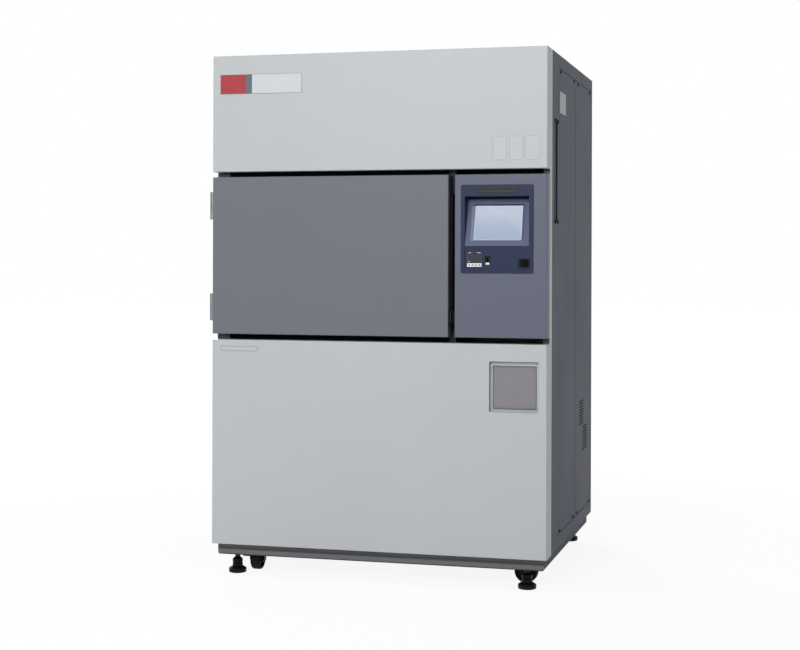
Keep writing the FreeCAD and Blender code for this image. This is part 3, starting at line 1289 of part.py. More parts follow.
def operation_bezel():
    """Moulded operation bezel with the screen recess, the flap recess and the finger scoop."""
    front = -BEZEL_PROUD
    plate = box(BEZEL_LEFT, BEZEL_RIGHT, front, 0, BEZEL_BOTTOM, BEZEL_TOP)
    plate = rounded(plate, BEZEL_CORNER, along(1))
    plate = rounded(plate, BEZEL_EDGE, on_plane(1, front))
    lap = BEZEL_LAP + SEAT
    inner = box(BEZEL_LEFT + lap, BEZEL_RIGHT - lap, -1, BEZEL_BACK, BEZEL_BOTTOM + lap, BEZEL_TOP - lap)
    tube = bezel_window(SCREEN_LEFT, SCREEN_WIDTH, SCREEN_BOTTOM, SCREEN_OPENING, -1, TUBE_DEPTH, TUBE_WALL)
    cup = bezel_window(SCOOP_LEFT, SCOOP_WIDTH, SCOOP_BOTTOM, SCOOP_HEIGHT, 0,
                       CHANNEL_END + PAN_SHEET, PAN_SHEET)
    bezel = joined([plate, inner, tube, cup])
    scoop = bezel_window(SCOOP_LEFT, SCOOP_WIDTH, SCOOP_BOTTOM, SCOOP_HEIGHT, front - 1,
                         front + SCOOP_DEPTH, 0)
    scoop = rounded(scoop, SCOOP_ROUND, along(1))
    floor = SEAT
    cuts = [bezel_window(SCREEN_LEFT, SCREEN_WIDTH, SCREEN_BOTTOM, SCREEN_OPENING, front - 1,
                         TUBE_DEPTH - TUBE_WALL, 0),
            bezel_window(FLAP_LEFT, FLAP_WIDTH, FLAP_BOTTOM, FLAP_HEIGHT, front - 1, floor, CLEAR),
            bezel_window(CONTROLLER_CASE_LEFT, CONTROLLER_CASE, CONTROLLER_CASE_BOTTOM, CONTROLLER_CASE,
                         floor - 1, BEZEL_BACK + 1, BUSH_CLEAR),
            bezel_window(PORT_LEFT, PORT_WIDTH, PORT_BOTTOM, PORT_HEIGHT, floor - 1, BEZEL_BACK + 1,
                         BUSH_CLEAR),
            scoop,
            bezel_window(BUTTON_LEFT, BUTTON_WIDTH, BUTTON_BOTTOM, BUTTON_HEIGHT, front, CHANNEL_END, SEAT),
            lens_block(front - 1, BEZEL_BACK + 1, BUSH_CLEAR),
            rod((FLAP_X, FLAP_Y, FLAP_BOTTOM - FLAP_PIN_LENGTH - SEAT), (0, 0, 1), FLAP_PIN + BORE_CLEAR,
                FLAP_HEIGHT + 2 * FLAP_PIN_LENGTH + 2 * SEAT)]
    for piece in cuts:
        bezel = bezel.cut(piece)
    return bezel


def lens_block(front, back, grow):
    """Block with the rounded outline of the alarm lens."""
    block = bezel_window(LENS_LEFT, LENS_WIDTH, LENS_BOTTOM, LENS_HEIGHT, front, back, grow)
    return rounded(block, LENS_ROUND, along(1))


def alarm_lens():
    """Amber light strip, held from behind by its flange."""
    flange = bezel_window(LENS_LEFT, LENS_WIDTH, LENS_BOTTOM, LENS_HEIGHT, BEZEL_BACK,
                          BEZEL_BACK + PAN_SHEET, LENS_FLANGE)
    return joined([lens_block(LENS_RECESS - BEZEL_PROUD, BEZEL_BACK + 1, 0), flange])


def tilted(solid):
    """Lean a screen piece back from upright and stand it on the lower edge of the recess."""
    solid.rotate(Vector(0, 0, 0), Vector(1, 0, 0), -SCREEN_TILT)
    solid.translate(Vector(0, -SCREEN_PROUD, SCREEN_BOTTOM))
    return solid


def screen_room(front, back, grow):
    """Upright block over the visible screen area, before it is tilted."""
    x = SCREEN_LEFT + (SCREEN_WIDTH - LCD_WIDTH) / 2
    z = (SCREEN_SLOPE - LCD_HEIGHT) / 2
    return box(x - grow, x + LCD_WIDTH + grow, front, back, z - grow, z + LCD_HEIGHT + grow)


def screen_bevel():
    """Sloping sides of the screen recess, from its wide mouth to the visible area."""
    x = SCREEN_LEFT + (SCREEN_WIDTH - LCD_WIDTH) / 2
    z = (SCREEN_SLOPE - LCD_HEIGHT) / 2
    def outline(side, end, depth):
        corners = [Vector(x - side, depth, z - end), Vector(x + LCD_WIDTH + side, depth, z - end),
                   Vector(x + LCD_WIDTH + side, depth, z + LCD_HEIGHT + end),
                   Vector(x - side, depth, z + LCD_HEIGHT + end)]
        return Part.makePolygon(corners + corners[:1])
    return Part.makeLoft([outline(LCD_BEVEL_SIDE, LCD_BEVEL_END, 0), outline(0, 0, LCD_RECESS)], True, True)


def screen_module():
    """Tilted screen frame with a bevelled opening and a seat for its glass."""
    module = box(SCREEN_LEFT + BUSH_CLEAR, SCREEN_LEFT + SCREEN_WIDTH - BUSH_CLEAR, 0, SCREEN_THICK,
                 0, SCREEN_SLOPE)
    module = rounded(module, SCREEN_ROUND, on_plane(1, 0))
    module = module.cut(screen_bevel())
    module = module.cut(screen_room(LCD_RECESS - BUSH_CLEAR, LCD_RECESS + GLASS_SHEET, GLASS_LAP))
    return tilted(module).common(box(-HALF, HALF, -HALF, HALF, SCREEN_BOTTOM, DOOR_TOP))


def screen_glass():
    """Glass of the screen, in its seat behind the bevel."""
    return tilted(screen_room(LCD_RECESS, LCD_RECESS + GLASS_SHEET, GLASS_LAP))


def service_flap():
    """Flap with a rounded hinge edge, two pins and windows for the instruments."""
    leaf = box(FLAP_X, FLAP_LEFT + FLAP_WIDTH, -BEZEL_PROUD, FLAP_SHEET - BEZEL_PROUD,
               FLAP_BOTTOM, FLAP_BOTTOM + FLAP_HEIGHT)
    edge = rod((FLAP_X, FLAP_Y, FLAP_BOTTOM), (0, 0, 1), FLAP_SHEET / 2, FLAP_HEIGHT)
    pins = rod((FLAP_X, FLAP_Y, FLAP_BOTTOM - FLAP_PIN_LENGTH), (0, 0, 1), FLAP_PIN,
               FLAP_HEIGHT + 2 * FLAP_PIN_LENGTH)
    flap = joined([leaf, edge, pins])
    flap = flap.cut(bezel_window(CONTROLLER_LEFT, CONTROLLER, CONTROLLER_BOTTOM, CONTROLLER,
                                 -BEZEL_PROUD - 1, 1, CLEAR))
    return flap.cut(bezel_window(PORT_LEFT, PORT_WIDTH, PORT_BOTTOM, PORT_HEIGHT,
                                 -BEZEL_PROUD - 1, 1, CLEAR))


def panel_instruments():
    """Panel controller with its case, and the data port beside it."""
    front = bezel_window(CONTROLLER_LEFT, CONTROLLER, CONTROLLER_BOTTOM, CONTROLLER,
                         -CONTROLLER_PROUD, SEAT, 0)
    front = rounded(front, CONTROLLER_ROUND, along(1))
    case = bezel_window(CONTROLLER_CASE_LEFT, CONTROLLER_CASE, CONTROLLER_CASE_BOTTOM, CONTROLLER_CASE,
                        0, CONTROLLER_DEPTH, 0)
    window = bezel_window(CONTROLLER_LEFT + DISPLAY_MARGIN, CONTROLLER - 2 * DISPLAY_MARGIN,
                          CONTROLLER_BOTTOM + DISPLAY_RISE, CONTROLLER - DISPLAY_RISE - DISPLAY_HEAD,
                          -CONTROLLER_PROUD - 1, DISPLAY_SINK - CONTROLLER_PROUD, 0)
    shell = bezel_window(PORT_LEFT, PORT_WIDTH, PORT_BOTTOM, PORT_HEIGHT, -PORT_PROUD, PORT_DEPTH, 0)
    flange = bezel_window(PORT_LEFT, PORT_WIDTH, PORT_BOTTOM, PORT_HEIGHT, BEZEL_BACK,
                          BEZEL_BACK + PAN_SHEET, LENS_FLANGE)
    mouth = bezel_window(PORT_LEFT + (PORT_WIDTH - PORT_MOUTH[0]) / 2, PORT_MOUTH[0],
                         PORT_BOTTOM + (PORT_HEIGHT - PORT_MOUTH[1]) / 2, PORT_MOUTH[1],
                         -PORT_PROUD - 1, 2 * SCOOP_DEPTH, 0)
    return Part.makeCompound([joined([front, case]).cut(window), joined([shell, flange]).cut(mouth)])


def flap_latch():
    """Square finger button that slides in the scoop."""
    face = SCOOP_DEPTH - BEZEL_PROUD - BUTTON_PROUD
    button = bezel_window(BUTTON_LEFT, BUTTON_WIDTH, BUTTON_BOTTOM, BUTTON_HEIGHT, face,
                          face + BUTTON_LENGTH, 0)
    return rounded(button, BUTTON_ROUND, on_plane(1, face))


def switch_pocket():
    """Pocket behind the lower panel: recess walls, ring floor and the deep breaker box."""
    ring_back = RECESS_DEPTH + RING_SHEET
    wall = POCKET_WALL
    shell = box(RECESS_LEFT - wall, RECESS_RIGHT + wall, SHEET, ring_back,
                RECESS_BOTTOM - wall, RECESS_TOP + wall)
    recess = box(RECESS_LEFT, RECESS_RIGHT, SHEET - 1, RECESS_DEPTH, RECESS_BOTTOM, RECESS_TOP)
    recess = rounded(recess, RECESS_ROUND, along(1))
    deep = box(HOLE_LEFT - wall, HOLE_RIGHT + wall, RECESS_DEPTH, POCKET_DEPTH,
               HOLE_BOTTOM - wall, HOLE_TOP + wall)
    hole = box(HOLE_LEFT, HOLE_RIGHT, RECESS_DEPTH - 1, POCKET_DEPTH - wall, HOLE_BOTTOM, HOLE_TOP)
    pocket = joined([shell, deep]).cut(recess).cut(hole)
    return pocket.cut(rod((HOLE_LEFT - wall - 1, COVER_Y, COVER_Z), (1, 0, 0), COVER_PIN + BORE_CLEAR,
                          HOLE_WIDTH + 2 * wall + 2))


def switch_cover():
    """Hinged cover of the breaker with its two hinge pins and a finger hollow."""
    front = RECESS_DEPTH + COVER_SINK
    leaf = box(HOLE_LEFT + CLEAR, HOLE_RIGHT - CLEAR, front, front + COVER_SHEET,
               HOLE_BOTTOM + CLEAR, HOLE_TOP - CLEAR)
    leaf = rounded(leaf, COVER_ROUND, on_plane(1, front))
    reach = CLEAR + POCKET_WALL - SEAT
    pins = rod((HOLE_LEFT + CLEAR - reach, COVER_Y, COVER_Z), (1, 0, 0), COVER_PIN,
               HOLE_WIDTH - 2 * CLEAR + 2 * reach)
    return joined([leaf, pins])


def breaker():
    """Main breaker at the back of the pocket, with the slot that its lever turns in."""
    back = POCKET_DEPTH - POCKET_WALL
    front = back - BREAKER_DEPTH
    x = BREAKER_X - BREAKER_WIDTH / 2
    block = box(x, x + BREAKER_WIDTH, front, back, LEVER_Z - BREAKER_HEIGHT / 2, LEVER_Z + BREAKER_HEIGHT / 2)
    block = rounded(block, BREAKER_ROUND, on_plane(1, front))
    half = LEVER_WIDTH / 2 + SEAT
    slot = box(BREAKER_X - half, BREAKER_X + half, front - 1, LEVER_Y + LEVER_DRUM + SEAT,
               LEVER_Z - LEVER_ROOM * LEVER_DRUM, LEVER_Z + LEVER_ROOM * LEVER_DRUM)
    reach = half + LEVER_PIN_LENGTH + CLEAR
    pin = rod((BREAKER_X - reach, LEVER_Y, LEVER_Z), (1, 0, 0), LEVER_PIN + BORE_CLEAR, 2 * reach)
    return block.cut(slot).cut(pin)


def breaker_lever():
    """Lever of the breaker: a drum on two pins and a tapered handle, in its upper place."""
    half = LEVER_WIDTH / 2
    drum = rod((-half, 0, 0), (1, 0, 0), LEVER_DRUM, LEVER_WIDTH)
    reach = half + LEVER_PIN_LENGTH
    pins = rod((-reach, 0, 0), (1, 0, 0), LEVER_PIN, 2 * reach)
    root = LEVER_THICK / 2 + LEVER_DRAFT
    tip = LEVER_THICK / 2 - LEVER_DRAFT
    handle = prism([(-half, 0, -root), (-half, -LEVER_REACH, -tip), (-half, -LEVER_REACH, tip),
                    (-half, 0, root)], (LEVER_WIDTH, 0, 0))
    handle = rounded(handle, LEVER_ROUND, on_plane(1, -LEVER_REACH))
    lever = joined([drum, pins, handle])
    lever.rotate(Vector(0, 0, 0), Vector(1, 0, 0), -LEVER_TILT)
    lever.translate(Vector(BREAKER_X, LEVER_Y, LEVER_Z))
    return lever


# Places worked out from the sizes above
CROWN_TOP = BASE_UNDERSIDE - CASTER_PLATE_SHEET - SEAT
CASTER_HEADINGS = {"front_left": -90.0, "front_right": 0.0, "rear_left": 90.0, "rear_right": 0.0}
REAR_HALF = HALF - REAR_RETURN - SHEET - TRAY_GAP
REAR_BOTTOM = BASE_TOP + SHEET + TRAY_GAP
REAR_SEAM = BASE_TOP + 781.0
REAR_TOP = HEIGHT - SHEET - SEAM
HINGE_X = -HALF - HINGE_OUT
LATCH_X = DOOR_RIGHT + LATCH_OUT
HOT_BLOWER_Z = HOT_BOTTOM + HOT_BLOWER_HEIGHT
COLD_BLOWER_Z = COLD_BOTTOM + COLD_BLOWER_HEIGHT
DAMPER_Y = PORT_REAR + DAMPER_OVERLAP + DAMPER_SHAFT
HOT_DAMPER_Z = HOT_BOTTOM + DAMPER_OFFSET
COLD_DAMPER_Z = COLD_TOP - DAMPER_OFFSET
COMPRESSOR_Y = (BODY_FRONT + BODY_REAR) / 2
SCREEN_BACK = SCREEN_SLOPE * math.sin(math.radians(SCREEN_TILT)) + SCREEN_THICK - SCREEN_PROUD
TUBE_DEPTH = SCREEN_BACK + SEAT + TUBE_WALL
CONTROLLER_CASE_LEFT = CONTROLLER_LEFT + (CONTROLLER - CONTROLLER_CASE) / 2
CONTROLLER_CASE_BOTTOM = CONTROLLER_BOTTOM + (CONTROLLER - CONTROLLER_CASE) / 2
CHANNEL_END = SCOOP_DEPTH - BEZEL_PROUD - BUTTON_PROUD + BUTTON_LENGTH + BUTTON_TRAVEL + SEAT
FLAP_X = FLAP_LEFT + FLAP_SHEET / 2
FLAP_Y = FLAP_SHEET / 2 - BEZEL_PROUD
COVER_Y = RECESS_DEPTH + COVER_SINK + COVER_SHEET / 2
COVER_Z = HOLE_TOP - CLEAR - COVER_HINGE_DROP
BREAKER_X = (HOLE_LEFT + HOLE_RIGHT) / 2
LEVER_Y = POCKET_DEPTH - POCKET_WALL - BREAKER_DEPTH + 0.9 * LEVER_DRUM
LEVER_Z = (HOLE_BOTTOM + HOLE_TOP) / 2


def build():
    """Every node of the chamber by name, in the drawing frame."""
    nodes = {"base_frame": base_frame(), "caster_plates": caster_plates()}
    for name, place in corners_of_base(FOOT_SIDE_INSET, FOOT_END_INSET).items():
        nodes["foot_" + name] = foot(place)
    for name in CASTER_HEADINGS:
        braked = name.startswith("front")
        nodes["caster_fork_" + name] = placed_castor(caster_fork(BRAKE_SHEET + 2 * SEAT if braked else 0),
                                                     name)
        nodes["caster_wheel_" + name] = placed_castor(caster_wheel(), name)
        if braked:
            nodes["caster_brake_" + name] = placed_castor(caster_brake(), name)
    right_panels = side_panels()
    nodes.update({
        "front_posts": front_posts(), "side_frames": side_frames(),
        "side_panels_left": mirrored(right_panels), "side_panels_right": right_panels,
        "slot_cover": slot_cover(), "panel_screws": panel_screws(), "top_cover": top_cover(),
        "rear_covers": rear_covers(), "cable_gland": cable_gland(),
        "upper_front_panel": upper_front_panel(), "lower_front_panel": lower_front_panel(),
        "control_panel": control_panel(), "chamber_stand": chamber_stand(),
        "insulation_body": insulation_body(), "test_area_liner": test_area_liner(),
        "specimen_rack": specimen_rack(), "door_shell": door_shell(), "door_pan": door_pan(),
        "door_insulation": door_insulation(), "door_gasket": door_gasket(), "door_grip": door_grip(),
        "latch_lever": latch_lever(),
        "hinge_body_leaves": Part.makeCompound([hinge_body_leaf(z) for z in HINGE_HEIGHTS]),
        "hinge_door_leaves": Part.makeCompound([hinge_door_leaf(z) for z in HINGE_HEIGHTS]),
        "hot_blower_wheel": blower_wheel(HOT_BLOWER_Z), "cold_blower_wheel": blower_wheel(COLD_BLOWER_Z),
        "drive_units": drive_units(),
        "hot_damper": damper(HOT_DAMPER_Z, HOT_BOTTOM + DAMPER_LIFT),
        "cold_damper": damper(COLD_DAMPER_Z, COLD_TOP - DAMPER_LIFT - DAMPER_SHEET), "heater": heater(),
        "evaporator": evaporator(), "refrigeration_unit": refrigeration_unit(),
        "electrical_box": electrical_box(), "operation_bezel": operation_bezel(),
        "alarm_lens": alarm_lens(), "screen_module": screen_module(), "screen_glass": screen_glass(),
        "service_flap": service_flap(), "panel_instruments": panel_instruments(),
        "flap_latch": flap_latch(), "switch_pocket": switch_pocket(), "switch_cover": switch_cover(),
        "breaker": breaker(), "breaker_lever": breaker_lever()})
    return nodes


# Middle of the whole object, which becomes the origin
MIDDLE_X = (HINGE_X - HINGE_RADIUS + HALF + SLOT_SHEET + KNOB_HEIGHT) / 2
MIDDLE_Y = (DEPTH + PIPE_REACH - SCREEN_PROUD) / 2

os.makedirs("parts", exist_ok=True)
for node_name, shape in build().items():
    shape.translate(Vector(-MIDDLE_X, -MIDDLE_Y, 0))
    shape.exportStep("parts/" + node_name + ".step")
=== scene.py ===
# %% [markdown]
# # Dressing a thermal shock chamber
#
# The imported model already holds every panel, hinge and castor at its real size. This lesson gives
# each of them its finish, adds the thin pieces that a drawing leaves out, such as bare plates,
# screw heads and keys, and sets the camera and the light. It starts by loading the model.

# %% Load the frame
import math
import bmesh
import bpy
import numpy as np
from mathutils import Euler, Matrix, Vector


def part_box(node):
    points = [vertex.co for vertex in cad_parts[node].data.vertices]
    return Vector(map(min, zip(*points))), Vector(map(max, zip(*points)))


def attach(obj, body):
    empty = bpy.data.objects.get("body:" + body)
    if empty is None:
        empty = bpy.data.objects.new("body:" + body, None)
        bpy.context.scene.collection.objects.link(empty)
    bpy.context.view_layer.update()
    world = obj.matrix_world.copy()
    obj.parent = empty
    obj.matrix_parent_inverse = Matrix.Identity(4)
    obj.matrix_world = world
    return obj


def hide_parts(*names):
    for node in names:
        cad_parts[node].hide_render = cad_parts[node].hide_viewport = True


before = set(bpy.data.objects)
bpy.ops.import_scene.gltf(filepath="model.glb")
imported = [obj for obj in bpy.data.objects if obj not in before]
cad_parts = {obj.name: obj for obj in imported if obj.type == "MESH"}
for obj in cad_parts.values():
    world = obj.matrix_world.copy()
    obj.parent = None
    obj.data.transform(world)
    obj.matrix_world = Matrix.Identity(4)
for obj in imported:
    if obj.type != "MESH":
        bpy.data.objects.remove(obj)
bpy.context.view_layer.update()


# %% [markdown]
# ## Camera
#
# The photograph was taken from the right of the chamber, at chest height, with a lens of about
# 70 mm. A lens could be guessed and moved by eye, but the straight edges of the cabinet fix it: the
# level camera is turned 15 degrees to the left, and a small downward shift keeps the upright edges
# upright, as a view camera does.

# %% Camera
CAMERA_PLACE = (1.3665, -5.2953, 1.0334)
CAMERA_TURN = math.radians(14.958)
CAMERA_ROLL = math.radians(0.18)
LENS = 70.09
SENSOR = 36.0
PICTURE_WIDTH = 800
CENTRE_RISE = -65.1


def add_camera():
    """Level camera turned about Z, with the principal point above the middle of the picture."""
    data = bpy.data.cameras.new("camera")
    data.lens = LENS
    data.sensor_width = SENSOR
    data.shift_y = CENTRE_RISE / PICTURE_WIDTH
    camera = bpy.data.objects.new("camera", data)
    camera.location = CAMERA_PLACE
    level = Euler((math.pi / 2, 0, CAMERA_TURN)).to_matrix()
    camera.rotation_euler = (level @ Euler((0, 0, CAMERA_ROLL)).to_matrix()).to_euler()
    bpy.context.scene.collection.objects.link(camera)
    bpy.context.scene.camera = camera
    return camera


print("camera at", tuple(add_camera().location))

# %% [markdown]
# ## Shader arithmetic
#
# Every finish here is a network of nodes. Wiring nodes one by one hides the idea, so a small class
# wraps a socket and turns ordinary arithmetic into Math nodes: `1 - mask` or `cloud * 0.1 + 0.4`
# read as formulas. Colours never go through it, because a Math node would make them grey: they are
# mixed.

# %% A socket that understands arithmetic
class Value:
    """What flows between nodes; on a number, each operator adds the Math node of its name."""

    def __init__(self, network, socket):
        self.network = network
        self.socket = socket

    def math(self, operation, first, second=0.0):
        return self.network.node("ShaderNodeMath", {"operation": operation}, {0: first, 1: second})

    def __add__(self, other):
        return self.math("ADD", self, other)

    def __radd__(self, other):
        return self.math("ADD", other, self)

    def __sub__(self, other):
        return self.math("SUBTRACT", self, other)

    def __rsub__(self, other):
        return self.math("SUBTRACT", other, self)

    def __mul__(self, other):
        return self.math("MULTIPLY", self, other)

    def __rmul__(self, other):
        return self.math("MULTIPLY", other, self)

    def __truediv__(self, other):
        return self.math("DIVIDE", self, other)

    def __rtruediv__(self, other):
        return self.math("DIVIDE", other, self)

    def __mod__(self, size):
        return self.math("FLOORED_MODULO", self, size)

    def __pow__(self, power):
        return self.math("POWER", self, power)

    def __abs__(self):
        return self.math("ABSOLUTE", self)


# %% A network of nodes
class Network:
    """The emptied node tree of a material or world, and the one method that places any node."""

    def __init__(self, owner):
        owner.use_nodes = True
        self.tree = owner.node_tree
        self.tree.nodes.clear()

    def plug(self, socket, value):
        """Link a flowing value to a socket, or set the socket to a constant."""
        if isinstance(value, Value):
            self.tree.links.new(value.socket, socket)
        else:
            socket.default_value = value

    def node(self, kind, settings=None, values=None, output=0):
        """Place a node of a type: its settings first, then the values or links of its sockets."""
        made = self.tree.nodes.new(kind)
        for name, setting in (settings or {}).items():
            setattr(made, name, setting)
        for name, value in (values or {}).items():
            self.plug(made.inputs[name], value)
        return Value(self, made.outputs[output])

    def show(self, kind, shader):
        """Close the network: an output node of a type, with the shader on its surface."""
        self.plug(self.tree.nodes.new(kind).inputs["Surface"], shader)

    def rise(self, value, start, end, low=0.0, high=1.0):
        """Low before start, high after end, and a smooth step between them."""
        return self.node("ShaderNodeMapRange", {"interpolation_type": "SMOOTHSTEP"},
                         {"Value": value, "From Min": start, "From Max": end, "To Min": low,
                          "To Max": high})

    def rays(self, first, *others):
        """1 for rays of any of the kinds named, such as Is Camera Ray, and 0 for the others."""
        kinds = self.node("ShaderNodeLightPath").socket.node.outputs
        seen = Value(self, kinds[first])
        for kind in others:
            seen = seen.math("MAXIMUM", seen, Value(self, kinds[kind]))
        return seen


# %% A finish and its patterns
SKIN = 0.001
SKIN_BLUR = 0.0005


def paint(red, green, blue, share=1.0):
    """Linear colour of a paint given in screen values from 0 to 255, brightened by a share."""
    screen = np.array([red, green, blue]) / 255
    linear = np.where(screen <= 0.04045, screen / 12.92, ((screen + 0.055) / 1.055) ** 2.4)
    return (*(float(value) for value in linear * share), 1.0)


class Finish(Network):
    """A material with one Principled shader, and the patterns that finishes are made of."""

    def __init__(self, name, **constants):
        self.material = bpy.data.materials.new(name)
        super().__init__(self.material)
        self.shader = self.tree.nodes.new("ShaderNodeBsdfPrincipled")
        self.show("ShaderNodeOutputMaterial", Value(self, self.shader.outputs["BSDF"]))
        for socket, number in constants.items():
            self.shader.inputs[socket.replace("_", " ")].default_value = number

    def feed(self, name, value):
        """Give a socket of the shader its value."""
        self.plug(self.shader.inputs[name], value)
        return self

    def repaint(self, mask, colour):
        """Paint over the colour so far where the mask is 1."""
        plain = Value(self, self.shader.inputs["Base Color"].links[0].from_socket)
        return self.feed("Base Color", self.blend(mask, plain, colour))

    def place(self):
        """X, Y and Z of the point, in metres of the whole object's frame."""
        point = self.node("ShaderNodeTexCoord", output="Object")
        split = self.node("ShaderNodeSeparateXYZ", values={0: point}).socket.node
        return [Value(self, split.outputs[axis]) for axis in range(3)]

    def noise(self, size, stretch=(1, 1, 1), detail=2.0, roughness=0.5):
        """Noise from 0 to 1 in blotches of a size in metres, longer where stretch is above 1."""
        scale = tuple(1 / (size * share) for share in stretch)
        point = self.node("ShaderNodeTexCoord", output="Object")
        scaled = self.node("ShaderNodeMapping", values={"Vector": point, "Scale": scale})
        return self.node("ShaderNodeTexNoise", values={"Vector": scaled, "Scale": 1.0,
                                                       "Detail": detail, "Roughness": roughness})

    def behind(self, depth, skin=SKIN, blur=SKIN_BLUR):
        """0 on faces that look forward at a depth along Y, and 1 beyond a skin behind them."""
        return self.rise(self.place()[1], depth + skin - blur, depth + skin + blur)

    def band(self, value, low, high, soft):
        """1 between low and high, 0 outside, soft at both ends."""
        return (self.rise(value, low - soft, low + soft)
                * (1 - self.rise(value, high - soft, high + soft)))

    def patch(self, first, second, box, soft):
        """1 inside the box (low, high, low, high) of two coordinates."""
        return self.band(first, box[0], box[1], soft) * self.band(second, box[2], box[3], soft)

    def blend(self, mask, first, second):
        """The first colour where the mask is 0 and the second where it is 1."""
        return self.node("ShaderNodeMix", {"data_type": "RGBA"}, {0: mask, 6: first, 7: second},
                         output=2)

    def relief(self, height, depth):
        """Raise the surface by a height from 0 to 1, given the depth of 1 in metres."""
        return self.feed("Normal", self.node("ShaderNodeBump", values={"Height": height,
                                                                       "Distance": depth}))


def shrunk(box, edge):
    """A box (low, high, low, high) made smaller by an edge on all four sides."""
    return (box[0] + edge, box[1] - edge, box[2] + edge, box[3] - edge)


def dress(finish, *nodes):
    """Give CAD nodes a finish in place of their plain material."""
    for name in nodes:
        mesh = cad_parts[name].data
        mesh.materials.clear()
        mesh.materials.append(finish.material)
    print(finish.material.name, "on", ", ".join(nodes))


print("middle grey is", round(paint(128, 128, 128)[0], 3), "in linear light")

# %% [markdown]
# ## Powder coat
#
# The cabinet is sheet steel under powder coat: satin, with a faint orange peel about a millimetre
# across and slow, very slight changes of tone over a whole panel. A flat colour looks like paper. A
# picture of paint would repeat, so two noises do it: a broad one moves the tone and the gloss a
# little, and a fine one lifts the surface by a few hundredths of a millimetre.

# %% Powder coat
CLOUD_SIZE = 0.35
PEEL_SIZE = 0.0016
PEEL_DEPTH = 0.00006
TONE_SPREAD = 0.03


def powder_coat(name, tint, gloss, sheen=0.2, front_tint=None, front=0.0):
    """Satin powder coat of a screen colour, with a front tint: second paint on the base, painted
    shade on posts.
    """
    finish = Finish(name, Specular_IOR_Level=sheen)
    cloud = finish.noise(CLOUD_SIZE, detail=3)
    grain = finish.noise(PEEL_SIZE)
    colour = finish.blend(cloud, paint(*tint, 1 - TONE_SPREAD), paint(*tint, 1 + TONE_SPREAD))
    if front_tint:
        front_paint_and_shade = finish.blend(cloud, paint(*front_tint, 1 - TONE_SPREAD), paint(*front_tint))
        colour = finish.blend(finish.behind(front), front_paint_and_shade, colour)
    finish.feed("Base Color", colour)
    finish.feed("Roughness", gloss + (cloud - 0.5) * 0.12 + (grain - 0.5) * 0.06)
    return finish.relief(grain, PEEL_DEPTH)


PANEL_TINT = (180, 184, 187)
BODY_TINT = (69, 74, 88)
dress(powder_coat("pale_coat", PANEL_TINT, 0.42), "upper_front_panel", "lower_front_panel")

# %% Posts, door, control panel and cabinet
MULLION = (0.0, 0.45)


def post_coat_painted_shade():
    """Pale posts with painted shade on their fronts; the post between door and controls is painted
    near black as shade.
    """
    # Painted shade: the posts' fronts take a darker tint, as they lie in the shadow of the gaps.
    finish = powder_coat("post_coat_painted_shade", PANEL_TINT, 0.42, front_tint=(84, 88, 96),
                         front=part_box("front_posts")[0][1])
    x = finish.place()[0]
    # Painted shade: the post between door and controls is painted nearly black.
    return finish.repaint(finish.band(x, *MULLION, 0.001), paint(38, 41, 52))


dress(post_coat_painted_shade(), "front_posts")
dress(powder_coat("door_coat", (108, 110, 117), 0.46, sheen=0.15), "door_shell")
dress(powder_coat("control_coat", (95, 98, 113), 0.44, sheen=0.15), "control_panel")
dress(powder_coat("body_coat", BODY_TINT, 0.5, sheen=0.06), "side_frames", "side_panels_left",
      "side_panels_right", "slot_cover", "top_cover", "rear_covers")

# %% Base
BASE_TINT = (66, 70, 82)
BASE_FRONT_TINT = (108, 107, 108)
PAINTED_SHADOW_BAND = (0.079, 0.0885)


def base_coat():
    """Grey front and blue grey sides, with a painted shadow on the front where the panels overhang
    it.
    """
    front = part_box("base_frame")[0][1]
    finish = powder_coat("base_coat", BASE_TINT, 0.55, sheen=0.06, front_tint=BASE_FRONT_TINT,
                         front=front)
    # Painted shadow: a darker band along the top of the front, under the overhanging panels.
    shade = finish.band(finish.place()[2], *PAINTED_SHADOW_BAND, 0.002) * (1 - finish.behind(front))
    return finish.repaint(shade, paint(72, 72, 75))


dress(base_coat(), "base_frame")
dress(powder_coat("pocket_coat", (170, 174, 180), 0.42), "switch_pocket", "electrical_box")

# %% [markdown]
# ## Black enamel and plated steel
#
# Castor forks, brake pedals and screws are black enamel on steel: darker and glossier than powder
# coat, with a few grey scuffs and some dust low down. The latch, the grip strip and the pads of the
# levelling feet are black nylon. Castor plates and hinges are zinc plated, which shows as a grey
# metal with a cloudy bloom. Wear could be painted by hand, but a noise that shows only where it is
# strong leaves most of the surface clean.

# %% Black enamel, zinc and nylon
SCUFFED = (0.62, 0.72)
DUST_TOP = 0.1


def black_enamel(name, tint=(7, 7, 10), gloss=0.22):
    """Glossy black paint with a few grey scuffs and dust in the lower part."""
    finish = Finish(name, Specular_IOR_Level=0.1)
    scuff = finish.rise(finish.noise(0.006, detail=5, roughness=0.7), *SCUFFED)
    dust = ((1 - finish.rise(finish.place()[2], 0.0, DUST_TOP))
            * finish.noise(0.02, detail=4) * 0.08)
    colour = finish.blend(scuff * 0.2, paint(*tint), paint(92, 92, 96))
    finish.feed("Base Color", finish.blend(dust, colour, paint(120, 118, 114)))
    finish.feed("Roughness", gloss + scuff * 0.3 + dust * 0.4)
    return finish.relief(finish.noise(0.0012), 0.00004)


def zinc(name, tint=(178, 180, 182)):
    """Zinc plating: metal with a cloudy bloom and fine rolling lines."""
    finish = Finish(name, Metallic=1.0)
    bloom = finish.noise(0.012, detail=4, roughness=0.6)
    lines = finish.noise(0.0008, stretch=(1, 1, 30))
    finish.feed("Base Color", finish.blend(bloom, paint(*tint, 0.75), paint(*tint)))
    finish.feed("Roughness", 0.34 + bloom * 0.2 + (lines - 0.5) * 0.1)
    return finish.relief(lines, 0.00002)


